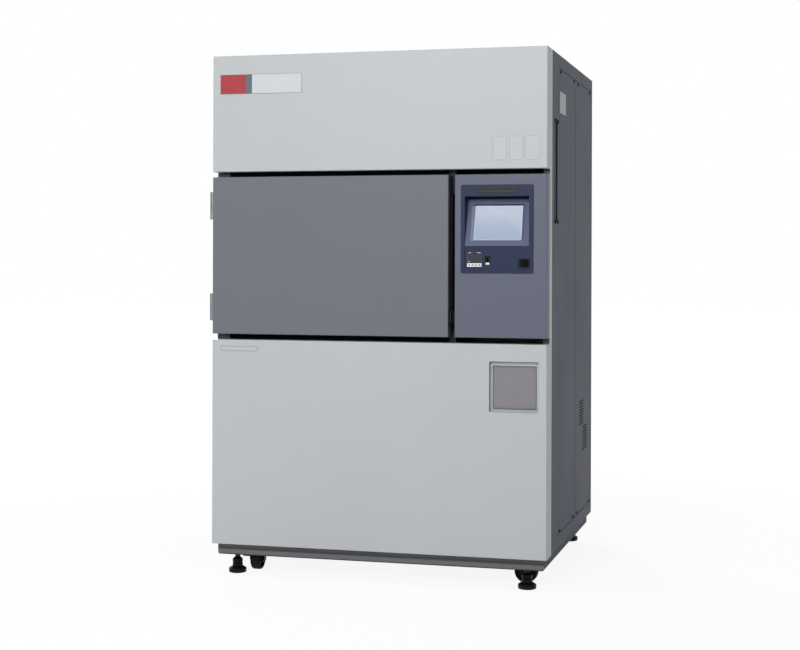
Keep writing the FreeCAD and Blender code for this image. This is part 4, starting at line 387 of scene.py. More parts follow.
def moulded(name, tint, gloss, grain=0.0009, depth=0.00004, specular=0.15):
    """Moulded plastic with a fine spark-eroded grain and slight flow clouds."""
    finish = Finish(name, Specular_IOR_Level=specular)
    cloud = finish.noise(0.08, detail=2)
    texture = finish.noise(grain, detail=3, roughness=0.6)
    finish.feed("Base Color", finish.blend(cloud, paint(*tint, 0.95), paint(*tint, 1.05)))
    finish.feed("Roughness", gloss + (texture - 0.5) * 0.16 + (cloud - 0.5) * 0.06)
    return finish.relief(texture, depth)


CORNERS = ("front_left", "front_right", "rear_left", "rear_right")
dress(black_enamel("black_enamel"), *("caster_fork_" + corner for corner in CORNERS),
      "caster_brake_front_left", "caster_brake_front_right")
dress(moulded("latch_nylon", (22, 25, 31), 0.35), "latch_lever", "cable_gland")
dress(moulded("grip_nylon", (9, 10, 14), 0.45, specular=0.08), "door_grip")

# %% Feet, castor plates and hinges
STUD_BOTTOM = 0.048
FOOT_DUST_TOP = 0.03


def foot_finish():
    """Levelling foot: black nylon pad and sleeve, and above them the blackened steel stud."""
    finish = Finish("foot_nylon_and_stud", Specular_IOR_Level=0.1)
    height = finish.place()[2]
    stud = finish.rise(height, STUD_BOTTOM - 0.0005, STUD_BOTTOM + 0.0005)
    bloom = finish.noise(0.006, detail=4)
    dust = (1 - finish.rise(height, 0.0, FOOT_DUST_TOP)) * bloom * 0.1
    nylon = finish.blend(dust, paint(6, 6, 9), paint(104, 102, 98))
    steel = finish.blend(bloom, paint(26, 27, 31), paint(44, 45, 50))
    finish.feed("Base Color", finish.blend(stud, nylon, steel))
    finish.feed("Metallic", stud)
    finish.feed("Roughness", 0.3 + bloom * 0.15)
    return finish.relief(bloom, 0.00003)


dress(foot_finish(), *("foot_" + corner for corner in CORNERS))
dress(zinc("zinc_plate", (120, 121, 124)), "caster_plates")
dress(zinc("hinge_plate", (126, 128, 134)), "hinge_body_leaves", "hinge_door_leaves")

# %% [markdown]
# ## Castor wheels
#
# A wheel is one moulding with a harder web inside a softer tyre, so its finish changes with the
# distance from the axle. The tyre could be cut off as a piece of its own, but the shader can work
# out the distance from the wheel's centre, which the frame gives. The tyre gets a dusty tread, and
# the web stays smoother and a shade lighter.

# %% Castor wheels
RIM_RADIUS = 0.0285
RIM_BLUR = 0.0004
TREAD = (0.0365, 0.0374)


def wheel_finish(node):
    """Tyre outside the rim radius about the axle, web inside it."""
    low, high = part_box(node)
    centre = (low + high) / 2
    spans = high - low
    axle = 0 if spans[0] < spans[1] else 1
    finish = Finish(node + "_tyre", Specular_IOR_Level=0.1)
    place = finish.place()
    flat = place[1 - axle] - centre[1 - axle]
    upright = place[2] - centre[2]
    radius = (flat * flat + upright * upright) ** 0.5
    tyre = finish.rise(radius, RIM_RADIUS - RIM_BLUR, RIM_RADIUS + RIM_BLUR)
    tread = finish.rise(radius, *TREAD)
    speck = finish.noise(0.004, detail=5, roughness=0.7)
    rubber = finish.blend(tread * speck * 0.4, paint(9, 9, 11), paint(80, 78, 76))
    finish.feed("Base Color", finish.blend(tyre, paint(13, 13, 16), rubber))
    finish.feed("Roughness", 0.36 + tyre * 0.22 + tread * speck * 0.25)
    return finish.relief(speck, 0.00005)


for corner in CORNERS:
    dress(wheel_finish("caster_wheel_" + corner), "caster_wheel_" + corner)

# %% [markdown]
# ## Stainless steel, aluminium and machine parts
#
# Behind the door everything that meets the air is brushed stainless steel. Brushing is a noise
# stretched far along one direction: it tints the metal slightly and scratches its gloss. The fins
# are plain rolled aluminium, the heating rods have the straw and blue tones of steel that has been
# hot, and motors and compressors wear dark machine enamel.

# %% Brushed and heated metal
BRUSH_LENGTH = 90
BRUSH_CONTRAST = 0.1
BROWNED = (0.35, 0.55)
BLUED = (0.52, 0.7)


def brushed(name, tint, along, gloss=0.26):
    """Brushed metal whose scratches run along the axis numbered 0, 1 or 2."""
    finish = Finish(name, Metallic=1.0)
    stretch = tuple(BRUSH_LENGTH if axis == along else 1 for axis in range(3))
    scratches = finish.noise(0.0007, stretch=stretch, detail=4, roughness=0.6)
    cloud = finish.noise(0.12, detail=3)
    finish.feed("Base Color", finish.blend(scratches, paint(*tint, 1 - BRUSH_CONTRAST),
                                           paint(*tint)))
    finish.feed("Roughness", gloss + (scratches - 0.5) * 0.22 + (cloud - 0.5) * 0.1)
    return finish.relief(scratches, 0.00003)


def heated_steel():
    """Steel that has been red hot: straw, brown and blue bands along the rods."""
    finish = Finish("heated_steel", Metallic=1.0)
    drift = finish.noise(0.05, stretch=(3, 1, 1), detail=3)
    brown = finish.blend(finish.rise(drift, *BROWNED), paint(150, 132, 100), paint(98, 72, 66))
    finish.feed("Base Color", finish.blend(finish.rise(drift, *BLUED), brown,
                                           paint(72, 78, 108)))
    finish.feed("Roughness", 0.42 + drift * 0.2)
    return finish.relief(finish.noise(0.002, detail=4), 0.00005)


dress(brushed("brushed_stainless", (196, 196, 194), 0), "test_area_liner", "door_pan",
      "hot_damper", "cold_damper")
dress(brushed("rack_wire", (205, 205, 203), 1, gloss=0.18), "specimen_rack")
dress(brushed("rolled_aluminium", (206, 208, 211), 2, gloss=0.32), "hot_blower_wheel",
      "cold_blower_wheel", "evaporator")
dress(heated_steel(), "heater")

# %% Insulation, foam and machine enamel
GAP_SHADE_DEPTH = 0.004


def insulation_board():
    """Mineral wool board: pale, matt, with short fibres; front and sides painted near black as
    shade for the gaps.
    """
    finish = Finish("insulation_board", Specular_IOR_Level=0.1, Roughness=0.95)
    low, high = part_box("insulation_body")
    x, y, _ = finish.place()
    wool_zone = (finish.rise(y, low[1] + GAP_SHADE_DEPTH, low[1] + GAP_SHADE_DEPTH + 0.001)
                 * finish.band(x, low[0] + GAP_SHADE_DEPTH, high[0] - GAP_SHADE_DEPTH, 0.0005))
    fibres = finish.noise(0.0018, stretch=(6, 1, 1), detail=5, roughness=0.7)
    specks = finish.rise(finish.noise(0.007, detail=2), 0.66, 0.7)
    wool = finish.blend(fibres, paint(186, 174, 132), paint(226, 218, 186))
    board = finish.blend(specks * 0.5, wool, paint(140, 118, 74))
    # Painted shade: near black on the board's front and sides, for the shadow seen through the
    # gaps.
    gap_shade = finish.blend(fibres, paint(20, 20, 24), paint(30, 30, 35))
    finish.feed("Base Color", finish.blend(wool_zone, gap_shade, board))
    return finish.relief(fibres, 0.0004)


def door_filling():
    """Moulded foam behind the door pan: warm white with fine open cells."""
    finish = Finish("door_foam", Specular_IOR_Level=0.15, Roughness=0.9)
    cells = finish.noise(0.0015, detail=4, roughness=0.7)
    finish.feed("Base Color", finish.blend(cells, paint(196, 186, 150), paint(222, 214, 184)))
    return finish.relief(cells, 0.0003)


dress(insulation_board(), "insulation_body")
dress(door_filling(), "door_insulation")
dress(powder_coat("machine_enamel", (72, 78, 84), 0.36), "chamber_stand", "drive_units",
      "refrigeration_unit")

# %% [markdown]
# ## Operation panel
#
# The bezel is a dark blue grey moulding and the screen frame a lighter one. The lens of the alarm
# light is unlit, dark amber plastic with fine upright ribs whose crests carry a painted highlight.
# The screen shows a plain glow, brighter at the top and along its edge: it is worked out from the
# height over the screen, with a broad soft noise for the cloudy look of a liquid crystal display
# seen from the side. Its glass is a clear coat on top.

# %% Mouldings of the operation panel
BEZEL_TINT = (32, 42, 68)
FRAME_TINT = (84, 91, 117)
SCOOP_EDGE = 0.008
dress(moulded("flap_plastic", BEZEL_TINT, 0.46), "service_flap")
dress(moulded("button_plastic", (8, 7, 11), 0.6, specular=0.05), "flap_latch")


def bezel_finish():
    """Bezel moulding with painted shade, nearly black, inside its finger scoop."""
    finish = moulded("bezel_moulding", BEZEL_TINT, 0.46)
    low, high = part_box("flap_latch")
    x, _, z = finish.place()
    scoop = finish.patch(x, z, shrunk((low[0], high[0], low[2], high[2]), -SCOOP_EDGE), 0.0003)
    inside = finish.behind(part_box("operation_bezel")[0][1], blur=0.0004)
    # Painted shade: the recess of the finger scoop is painted dark.
    return finish.repaint(scoop * inside, paint(16, 17, 26))


def frame_finish():
    """Screen frame with a painted highlight on its left bevel and painted shade on its top bevel.
    """
    finish = moulded("screen_frame_moulding", FRAME_TINT, 0.44)
    low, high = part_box("screen_glass")
    x, _, z = finish.place()
    left = finish.patch(x, z, (low[0] - 0.0075, low[0] + 0.002, low[2], high[2] - 0.003), 0.0012)
    top = finish.patch(x, z, (low[0], high[0], high[2] - 0.0015, high[2] + 0.0022), 0.0006)
    # Painted highlight on the left bevel, then painted shade on the top bevel.
    finish.repaint(left * 0.8, paint(134, 143, 168))
    return finish.repaint(top, paint(24, 27, 42))


dress(bezel_finish(), "operation_bezel")
dress(frame_finish(), "screen_module")
dress(moulded("breaker_plastic", (40, 41, 44), 0.4), "breaker")
dress(moulded("lever_plastic", (24, 24, 26), 0.3), "breaker_lever")

# %% Alarm lens
RIB_PITCH = 0.0025
LENS_END = 0.0055
LENS_HALF = 0.003


def lens_finish():
    """Amber lens: upright ribs from a folded saw tooth of X with painted highlight, inside a dark
    edge.
    """
    finish = Finish("ribbed_lens", Specular_IOR_Level=0.3)
    x, _, z = finish.place()
    rib = abs((x / RIB_PITCH) % 1.0 * 2 - 1)
    depth = finish.noise(0.02, stretch=(3, 1, 1))
    body = finish.blend(depth, paint(50, 42, 34), paint(64, 54, 42))
    # Painted highlight: the crests of the ribs are painted lighter.
    ribbed = finish.blend(rib * 0.35, body, paint(88, 74, 54))
    low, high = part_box("alarm_lens")
    middle = (low[2] + high[2]) / 2
    bright = finish.patch(x, z, (low[0] + LENS_END, high[0] - LENS_END, middle - LENS_HALF,
                                 middle + LENS_HALF), 0.0008)
    finish.feed("Base Color", finish.blend(bright, paint(26, 25, 30), ribbed))
    finish.feed("Roughness", 0.25 + rib * 0.15)
    return finish.relief(rib, 0.0004)


dress(lens_finish(), "alarm_lens")

# %% Screen
SCREEN_LAP = 0.002
SCREEN_RIM = 0.0022


def screen_finish():
    """Soft glow from pale at the top to blue grey at the bottom, inside a brighter rim."""
    finish = Finish("screen_glow", Coat_Weight=0.12, Coat_Roughness=0.1, Roughness=0.4,
                    Specular_IOR_Level=0.15)
    low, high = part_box("screen_glass")
    x, _, z = finish.place()
    share = (z - low[2]) / (high[2] - low[2])
    cloud = finish.noise(0.07, stretch=(1.6, 1, 1), detail=2)
    level = finish.rise(share + (cloud - 0.5) * 0.7, 0.1, 0.95)
    glow = finish.blend(level, paint(158, 172, 192), paint(192, 201, 217))
    inside = finish.patch(x, z, shrunk((low[0], high[0], low[2], high[2]),
                                       SCREEN_LAP + SCREEN_RIM), SCREEN_RIM / 2)
    return finish.feed("Base Color", finish.blend(inside, paint(198, 207, 223), glow))


dress(screen_finish(), "screen_glass")

# %% [markdown]
# ## Panel controller and port
#
# The controller is a black 48 mm square. Its face has a thin pale outline, a smoked display window
# with a few pale marks round it and a white key strip below. The colours of the face follow X and Z
# measured from its own corner. The keys, the window and the white tongue of the port are separate
# pieces, made further down.

# %% Face of the controller
FACE_SIZE = 0.0485
FACE_EDGE = 0.0012
FACE_LINE = 0.0016
STRIP_TOP = 0.0125
PRINT_BLUR = 0.0002


def instrument_finish():
    """Black moulding; on the face of the controller a pale outline and a pale key strip."""
    finish = Finish("instrument_face", Specular_IOR_Level=0.12)
    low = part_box("panel_instruments")[0]
    x, _, z = finish.place()
    across = x - low[0]
    up = z - low[2]
    face = 1 - finish.behind(low[1], skin=0.00035, blur=0.00015)
    edges = shrunk((0, FACE_SIZE, 0, FACE_SIZE), FACE_EDGE)
    outer = finish.patch(across, up, edges, PRINT_BLUR)
    inner = finish.patch(across, up, shrunk(edges, FACE_LINE), PRINT_BLUR)
    strip = finish.patch(across, up, (*edges[:3], STRIP_TOP), PRINT_BLUR)
    speck = finish.noise(0.0012, detail=3)
    black = finish.blend(speck, paint(30, 30, 37), paint(38, 38, 46))
    finish.feed("Base Color", finish.blend(outer * (1 - inner) * face, black, paint(88, 92, 108)))
    finish.repaint(finish.rise(across, FACE_SIZE + 0.002, FACE_SIZE + 0.004), paint(6, 6, 9))
    finish.repaint(strip * face, paint(222, 223, 226))
    finish.feed("Roughness", 0.36 + speck * 0.1)
    return finish.relief(speck, 0.00003)


dress(instrument_finish(), "panel_instruments")

# %% [markdown]
# ## Breaker cover
#
# The square cover is a warm grey plastic, matt, with painted shade along its edge, where it turns
# back into the recess. The shaded edge could be a piece of its own, but the distance from the
# node's box gives it directly.

# %% Breaker cover
COVER_EDGE = 0.004


def cover_finish():
    """Warm grey moulding with painted shade towards its edges."""
    finish = Finish("cover_moulding", Specular_IOR_Level=0.35)
    low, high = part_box("switch_cover")
    x, _, z = finish.place()
    middle = finish.patch(x, z, shrunk((low[0], high[0], low[2], high[2]), COVER_EDGE), COVER_EDGE)
    cloud = finish.noise(0.03, detail=3)
    face = finish.blend(cloud, paint(122, 119, 125), paint(129, 126, 132))
    # Painted shade: the rim of the cover is darker than its middle.
    finish.feed("Base Color", finish.blend(middle, paint(98, 96, 103), face))
    finish.feed("Roughness", 0.5 + (cloud - 0.5) * 0.15)
    return finish.relief(finish.noise(0.001, detail=3), 0.00004)


dress(cover_finish(), "switch_cover")

# %% [markdown]
# ## Building surfaces
#
# The extra pieces are thin plates, keys, screw heads, bolts and a rubber seal. Cubes and cylinders
# would look like stand-ins, so each is a grid of points worked out at once as an array: one
# parameter runs round an outline, the other along a profile. The same function then makes a label
# with a soft edge, a key with a dished top, or a hollow seal.

# %% Grids to meshes
def grid_faces(rows, columns, wrap_rows):
    """Corner numbers of the quads of a grid that is closed along its columns."""
    i = np.arange(rows if wrap_rows else rows - 1)[:, None]
    j = np.arange(columns)[None, :]
    after_i = (i + 1) % rows
    after_j = (j + 1) % columns
    corners = np.stack(np.broadcast_arrays(i * columns + j, after_i * columns + j,
                                           after_i * columns + after_j, i * columns + after_j), -1)
    return corners.reshape(-1, 4)


def make_piece(name, grids, body, finish, wrap_rows=False, crease=40):
    """One object from (rows, columns, 3) grids: doubles merged, faces outward, creases sharp."""
    points = np.concatenate([grid.reshape(-1, 3) for grid in grids])
    starts = np.cumsum([0] + [grid.shape[0] * grid.shape[1] for grid in grids[:-1]])
    faces = np.concatenate([grid_faces(grid.shape[0], grid.shape[1], wrap_rows) + start
                            for grid, start in zip(grids, starts)])
    mesh = bpy.data.meshes.new(name)
    mesh.from_pydata(points.tolist(), [], faces.tolist())
    merged = bmesh.new()
    merged.from_mesh(mesh)
    bmesh.ops.remove_doubles(merged, verts=merged.verts, dist=1e-6)
    bmesh.ops.recalc_face_normals(merged, faces=merged.faces)
    merged.to_mesh(mesh)
    merged.free()
    mesh.polygons.foreach_set("use_smooth", np.ones(len(mesh.polygons), bool))
    mesh.set_sharp_from_angle(angle=math.radians(crease))
    mesh.materials.append(finish.material)
    piece = bpy.data.objects.new(name, mesh)
    bpy.context.scene.collection.objects.link(piece)
    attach(piece, body)
    print(name, len(mesh.polygons), "faces, rides on", body)
    return piece


print("a grid of 3 rows of 4 points has", len(grid_faces(3, 4, False)), "faces")

# %% Rings and plates
FRONT = (np.array([1.0, 0, 0]), np.array([0, 0, 1.0]))
RIGHT = (np.array([0, 1.0, 0]), np.array([0, 0, 1.0]))
LEFT = (np.array([0, -1.0, 0]), np.array([0, 0, 1.0]))
REAR = (np.array([-1.0, 0, 0]), np.array([0, 0, 1.0]))
DOWN = (np.array([1.0, 0, 0]), np.array([0, -1.0, 0]))


def placed(centre, view, x, z, height):
    """Points at centre + x * across + z * up + height * out, for the two axes of a view."""
    across, up = view
    return (np.asarray(centre, float) + x[..., None] * across + z[..., None] * up
            + height[..., None] * np.cross(across, up))


def rounded_rings(centre, view, size, radius, profile, steps=5):
    """Rounded rectangle carried along a profile of (inset, height) pairs.

    Each ring is four quarter circles of the radius less the inset, about corner centres that lie
    at half the size less the radius. The height moves a ring out of the view's plane."""
    inset, height = np.array(profile, float).T[:, :, None]
    quarter = np.repeat(np.arange(4), steps + 1)
    turn = (quarter + np.tile(np.linspace(0, 1, steps + 1), 4)) * math.pi / 2
    side_x = np.array([1, -1, -1, 1])[quarter]
    side_z = np.array([1, 1, -1, -1])[quarter]
    arc = np.maximum(radius - inset, 0.0)
    reach = np.maximum(radius, inset)
    x = side_x * (size[0] / 2 - reach) + arc * np.cos(turn)
    z = side_z * (size[1] / 2 - reach) + arc * np.sin(turn)
    return placed(centre, view, x, z, height)


def capped(grid):
    """Close both ends of a stack of rings with a ring shrunk to its middle."""
    first = np.broadcast_to(grid[:1].mean(1, keepdims=True), grid[:1].shape)
    last = np.broadcast_to(grid[-1:].mean(1, keepdims=True), grid[-1:].shape)
    return np.concatenate([first, grid, last])


def plate(centre, view, size, radius, thick, sink=0.0001):
    """Thin plate whose back lies just under the surface that carries it.

    Rounded rings rise straight for the thickness less an edge, step in by that edge in two
    slopes, and end in one more ring on the flat front, which keeps its shading even."""
    edge = min(0.25 * thick, 0.0002)
    profile = [(0, -sink), (0, thick - edge), (0.3 * edge, thick - 0.3 * edge), (edge, thick),
               (4 * edge, thick)]
    return capped(rounded_rings(centre, view, size, radius, profile))


print("a plate has", plate((0, 0, 0), FRONT, (0.1, 0.1), 0.01, 0.001).shape[:2], "points")

# %% [markdown]
# ## Bare plates
#
# The front carries a name plate, three small stickers and a long label, and the side a small plate.
# They could be painted on with the panel, but a real plate stands a few tenths of a millimetre
# proud and catches the light along its edge, so each is a thin piece of its own. All of them are
# bare: plain colour inside a thin border line.

# %% Finishes of the plates
RED_SHARE = 0.315
GREY_SHARE = 0.391


def print_finish(name, tint, border, box, line, axes=(0, 2)):
    """Matt film of one colour with a thin border line, inside a box of two coordinates."""
    finish = Finish(name, Specular_IOR_Level=0.12)
    place = finish.place()
    inside = finish.patch(place[axes[0]], place[axes[1]], shrunk(box, line), PRINT_BLUR)
    film = finish.noise(0.01, detail=3)
    face = finish.blend(film, paint(*tint, 0.98), paint(*tint, 1.02))
    finish.feed("Base Color", finish.blend(inside, paint(*border), face))
    return finish.feed("Roughness", 0.45 + film * 0.1)


def name_plate_finish(box, line):
    """Pale plate with a red block and a grey block at its left, inside a thin grey border."""
    finish = Finish("name_plate_print", Specular_IOR_Level=0.12)
    x, _, z = finish.place()
    blur = 0.0003
    inside = finish.patch(x, z, shrunk(box, line), blur)
    red_end, grey_end = (box[0] + share * (box[1] - box[0]) for share in (RED_SHARE, GREY_SHARE))
    red = 1 - finish.rise(x, red_end - blur, red_end + blur)
    grey = 1 - finish.rise(x, grey_end - blur, grey_end + blur)
    film = finish.noise(0.012, detail=3)
    pale = finish.blend(film, paint(192, 197, 200), paint(199, 204, 207))
    blocks = finish.blend(grey, pale, paint(100, 104, 116))
    blocks = finish.blend(red, blocks, finish.blend(film, paint(158, 60, 63), paint(168, 68, 71)))
    finish.feed("Base Color", finish.blend(inside, paint(126, 131, 138), blocks))
    return finish.feed("Roughness", 0.32 + film * 0.1)


print("name plate: red to", RED_SHARE, "and grey to", GREY_SHARE, "of its width")

# %% Plates on the front
NAME_PLATE = (0.026, 0.307, 0.126, 0.062)
SMALL_LABEL = (0.030, 0.158, 0.037, 0.021)
STICKERS = ((0.936, 0.981), (0.989, 1.033), (1.040, 1.086))
STICKER_RISE = (0.027, 0.1015)
upper_low, upper_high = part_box("upper_front_panel")
front_face = upper_low[1]


def below_corner(node, edges):
    """Box of a plate from its left, right, bottom and top distances to a panel's upper corner."""
    low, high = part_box(node)
    return (low[0] + edges[0], low[0] + edges[1], high[2] - edges[2], high[2] - edges[3])


def plate_on_front(name, box, radius, thick, finish):
    """Thin plate that fills a box of the front, given its left, right, bottom and top edges."""
    left, right, bottom, top = box
    centre = ((left + right) / 2, front_face, (bottom + top) / 2)
    shape = plate(centre, FRONT, (right - left, top - bottom), radius, thick)
    return make_piece(name, [shape], "root", finish)


name_box = below_corner("upper_front_panel", NAME_PLATE)
plate_on_front("name_plate", name_box, 0.001, 0.001, name_plate_finish(name_box, 0.0012))

for number, (start, end) in enumerate(STICKERS, 1):
    sticker_box = (upper_low[0] + start, upper_low[0] + end, upper_low[2] + STICKER_RISE[0],
                   upper_low[2] + STICKER_RISE[1])
    plate_on_front(f"blank_sticker_{number}", sticker_box, 0.004, 0.0003,
                   print_finish(f"sticker_film_{number}", (186, 191, 195), (150, 158, 168),
                                sticker_box, 0.0012))

label_box = below_corner("lower_front_panel", SMALL_LABEL)
plate_on_front("blank_label", label_box, 0.0015, 0.0004,
               print_finish("label_film", (182, 187, 190), (104, 110, 122), label_box, 0.0011))

# %% Plate on the side
SIDE_PLATE = (0.235, 0.362, 1.513, 1.584)
side_low, side_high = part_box("side_panels_right")
right_face = side_high[0]
side_box = (front_face + SIDE_PLATE[0], front_face + SIDE_PLATE[1], *SIDE_PLATE[2:])
side_centre = (right_face, (side_box[0] + side_box[1]) / 2, (side_box[2] + side_box[3]) / 2)
side_size = (side_box[1] - side_box[0], side_box[3] - side_box[2])
make_piece("blank_side_plate", [plate(side_centre, RIGHT, side_size, 0.002, 0.0005)], "root",
           print_finish("side_plate_film", (186, 190, 196), (140, 144, 152),
                                      side_box, 0.001, axes=(1, 2)))

# %% [markdown]
# ## Keys, window and port tongue
#
# Small as they are, these pieces are what makes the controller read as an instrument: a smoked
# window that reflects, four soft keys on the white strip, three pale lamps at the corners of the
# face and the white tongue in the port.

# %% Keys
KEY_PLACES = (0.0085, 0.019, 0.0295, 0.040)
KEY_RISE = 0.0068
KEY_SIZE = (0.0062, 0.0046)
face_low, face_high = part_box("panel_instruments")


def on_face(across, up, back=0.0):
    """Point on the controller's face, measured from its lower left corner."""
    return (face_low[0] + across, face_low[1] + back, face_low[2] + up)


def key_shape(across, up, size):
    """Key cap: rounded rings that rise 0.6 mm and fall by 0.1 mm towards a dished middle."""
    profile = [(0, -0.0001), (0, 0.0004), (0.0003, 0.0006), (0.0012, 0.00055), (0.0018, 0.0005)]
    return capped(rounded_rings(on_face(across, up), FRONT, size, 0.0012, profile))


make_piece("controller_keys", [key_shape(place, KEY_RISE, KEY_SIZE) for place in KEY_PLACES],
           "root", moulded("key_rubber", (128, 130, 136), 0.5, grain=0.0006))

# %% Window, lamps and port tongue
WINDOW_RISE = 0.0285
WINDOW_SIZE = (0.0396, 0.0266)
window = plate(on_face(FACE_SIZE / 2, WINDOW_RISE, back=0.0008), FRONT, WINDOW_SIZE, 0.0008, 0.0006)
make_piece("controller_window", [window], "root",
           moulded("smoked_window", (58, 58, 68), 0.3, depth=0.0, specular=0.1))

LAMPS = ((0.0095, 0.0455, 0.007, 0.0022), (0.0385, 0.0455, 0.011, 0.0018),
         (0.0075, 0.0176, 0.005, 0.0022))
lamps = [plate(on_face(across, up), FRONT, (width, height), 0.0006, 0.0003)
         for across, up, width, height in LAMPS]
make_piece("controller_lamps", lamps, "root",
           moulded("lamp_plastic", (196, 200, 206), 0.4, grain=0.0006))

TONGUE_INSET = 0.0115
TONGUE_RISE = 0.0111
tongue_place = on_face(face_high[0] - face_low[0] - TONGUE_INSET, TONGUE_RISE, back=0.0005)
tongue = plate(tongue_place, FRONT, (0.0118, 0.0066), 0.0022, 0.0004)
make_piece("port_tongue", [tongue], "root",
           moulded("tongue_plastic", (226, 224, 220), 0.4, grain=0.0006))

# %% [markdown]
# ## Screw heads and bolts
#
# The panels are held by black pan head screws with a cross recess, and the narrow cover by four
# knurled knobs. A head is a profile turned about its axis: the height falls with the radius, a
# cross shaped dip is taken out of the middle, and for a knob the radius ripples with the angle. A
# hexagon is the same turned grid with a radius that follows the six flats.

# %% Turned heads
KNURLS = 24
HEAD_ROWS = 14
HEAD_COLUMNS = 48
TURN = np.linspace(0, 2 * math.pi, HEAD_COLUMNS, endpoint=False)


def turned_head(centre, view, radius, height, ripple=0.0, cross=True):
    """Head turned about its axis: r = R sin(a), h = H cos(a)^0.55 for a up to a quarter turn.

    The radius grows by the ripple times cos(knurls * turn). The cross recess is 1 where the
    smaller of |x| and |y| is under its half width and the radius is under its reach, and lowers
    the height there."""
    a = np.linspace(0.0, math.pi / 2, HEAD_ROWS)[:, None]
    r = radius * np.sin(a) * (1 + ripple * np.cos(KNURLS * TURN))
    x = r * np.cos(TURN)
    z = r * np.sin(TURN)
    h = height * np.cos(a) ** 0.55
    if cross:
        arm = np.clip((0.17 * radius - np.minimum(abs(x), abs(z))) / (0.06 * radius), 0, 1)
        reach = np.clip((0.62 * radius - r) / (0.12 * radius), 0, 1)
        h = h - 0.55 * height * arm * reach
    return capped(placed(centre, view, x, z, h))


def hexagon_head(centre, view, flats, height):
    """Hexagon head: r is half the flats over the cosine of the angle from the nearest flat.

    The last ring is 7 % smaller and no wider than the flats, which bevels the corners."""
    side = flats / 2 / np.cos((TURN + math.pi / 6) % (math.pi / 3) - math.pi / 6)
    r = np.stack([side, side, np.minimum(0.93 * side, 0.98 * flats / 2)])
    heights = np.array([-0.0002, 0.82 * height, height])[:, None]
    return capped(placed(centre, view, r * np.cos(TURN), r * np.sin(TURN), heights))


print("a head has", turned_head((0, 0, 0), FRONT, 0.005, 0.003).shape[:2], "points")

# %% Panel screws and knobs
SCREW_RADIUS = 0.0058
SCREW_HEIGHT = 0.0034
SCREW_MARGIN = 0.009
SEAM = 0.0015
SEAM_MIDDLE = 0.582
SCREW_INSETS = (0.033, 0.041, 0.055, 0.030)
opening_front = side_low[1] - SEAM
opening_rear = side_high[1] + SEAM
seam = front_face + SEAM_MIDDLE
screw_depths = (opening_front + SCREW_INSETS[0], seam - SCREW_INSETS[1], seam + SCREW_INSETS[2],
                opening_rear - SCREW_INSETS[3])
screw_heights = (side_low[2] - SEAM + SCREW_MARGIN, side_high[2] + SEAM - SCREW_MARGIN)
left_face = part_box("side_panels_left")[0][0]
heads = [turned_head((face, depth, height), view, SCREW_RADIUS, SCREW_HEIGHT)
         for depth in screw_depths for height in screw_heights
         for face, view in ((right_face, RIGHT), (left_face, LEFT))]

REAR_SEAM = 0.881
rear_low, rear_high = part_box("rear_covers")
rear_heights = (rear_low[2] + SCREW_MARGIN, REAR_SEAM - SCREW_MARGIN, REAR_SEAM + SCREW_MARGIN,
                rear_high[2] - SCREW_MARGIN)
heads += [turned_head((x, rear_high[1], height), REAR, SCREW_RADIUS, SCREW_HEIGHT)
          for x in (rear_low[0] + SCREW_MARGIN, rear_high[0] - SCREW_MARGIN)
          for height in rear_heights]

KNOB_RADIUS = 0.0065
KNOB_HEIGHT = 0.005
KNURL_DEPTH = 0.03
SLOT_FLANGE = 0.0075
slot_low, slot_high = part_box("slot_cover")
heads += [turned_head((slot_high[0], depth, height), RIGHT, KNOB_RADIUS * (1 - KNURL_DEPTH),
                      KNOB_HEIGHT, ripple=KNURL_DEPTH, cross=False)
          for depth in (slot_low[1] + SLOT_FLANGE, slot_high[1] - SLOT_FLANGE)
          for height in (slot_low[2] + SLOT_FLANGE, slot_high[2] - SLOT_FLANGE)]
panel_heads = make_piece("panel_screw_heads", heads, "root",
                         black_enamel("screw_black", (5, 5, 7), 0.35))
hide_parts("panel_screws")

# %% Castor bolts
BOLT_SPREAD = 0.034
BOLT_FLATS = 0.013
BOLT_HEIGHT = 0.0048
CASTOR_HALF = 0.045
castor_low, castor_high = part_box("caster_plates")
bolts = [hexagon_head((x + side_x, y + side_y, castor_low[2]), DOWN, BOLT_FLATS, BOLT_HEIGHT)
         for x in (castor_low[0] + CASTOR_HALF, castor_high[0] - CASTOR_HALF)
         for y in (castor_low[1] + CASTOR_HALF, castor_high[1] - CASTOR_HALF)
         for side_x in (-BOLT_SPREAD, BOLT_SPREAD) for side_y in (-BOLT_SPREAD, BOLT_SPREAD)]
make_piece("castor_bolts", bolts, "root", zinc("bolt_zinc"))

# %% Hinge screws
LEAF_SHEET = 0.003
LEAF_PITCH = 0.030
LEAF_INSET = 0.016
POST_SCREW = (0.0042, 0.0014)
DOOR_SCREW = (0.0034, 0.0012)
DOOR_SCREW_DEPTH = 0.0105
DOOR_SCREW_RISE = 0.009
leaf_low, leaf_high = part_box("hinge_body_leaves")
leaf_face = left_face - LEAF_SHEET
leaf_screws = [turned_head((leaf_face, leaf_high[1] - LEAF_INSET,
                            bottom + (row + 0.5) * LEAF_PITCH), LEFT, *POST_SCREW)
               for bottom in (leaf_low[2], leaf_high[2] - 3 * LEAF_PITCH) for row in range(3)]
make_piece("hinge_post_screws", leaf_screws, "root", zinc("hinge_screw_zinc"))

door_screws = [turned_head((leaf_face, front_face + DOOR_SCREW_DEPTH, middle + rise), LEFT,
                           *DOOR_SCREW)
               for middle in (leaf_low[2] + 1.5 * LEAF_PITCH, leaf_high[2] - 1.5 * LEAF_PITCH)
               for rise in (-DOOR_SCREW_RISE, DOOR_SCREW_RISE)]
make_piece("hinge_door_screws", door_screws, "door", zinc("door_screw_zinc"))

# %% [markdown]
# ## Door seal
#
# The seal is a grey silicone extrusion: a flat foot, a narrow neck and a hollow bulb that the door
# presses against the liner. A plain square ring would miss that, so a closed profile is carried
# round the rounded path of the seal. The finish is soft silicone: matt, with fine drawing lines.

# %% Door seal
SEAL_HALF = 0.009
SEAL_CORNER = 0.0105


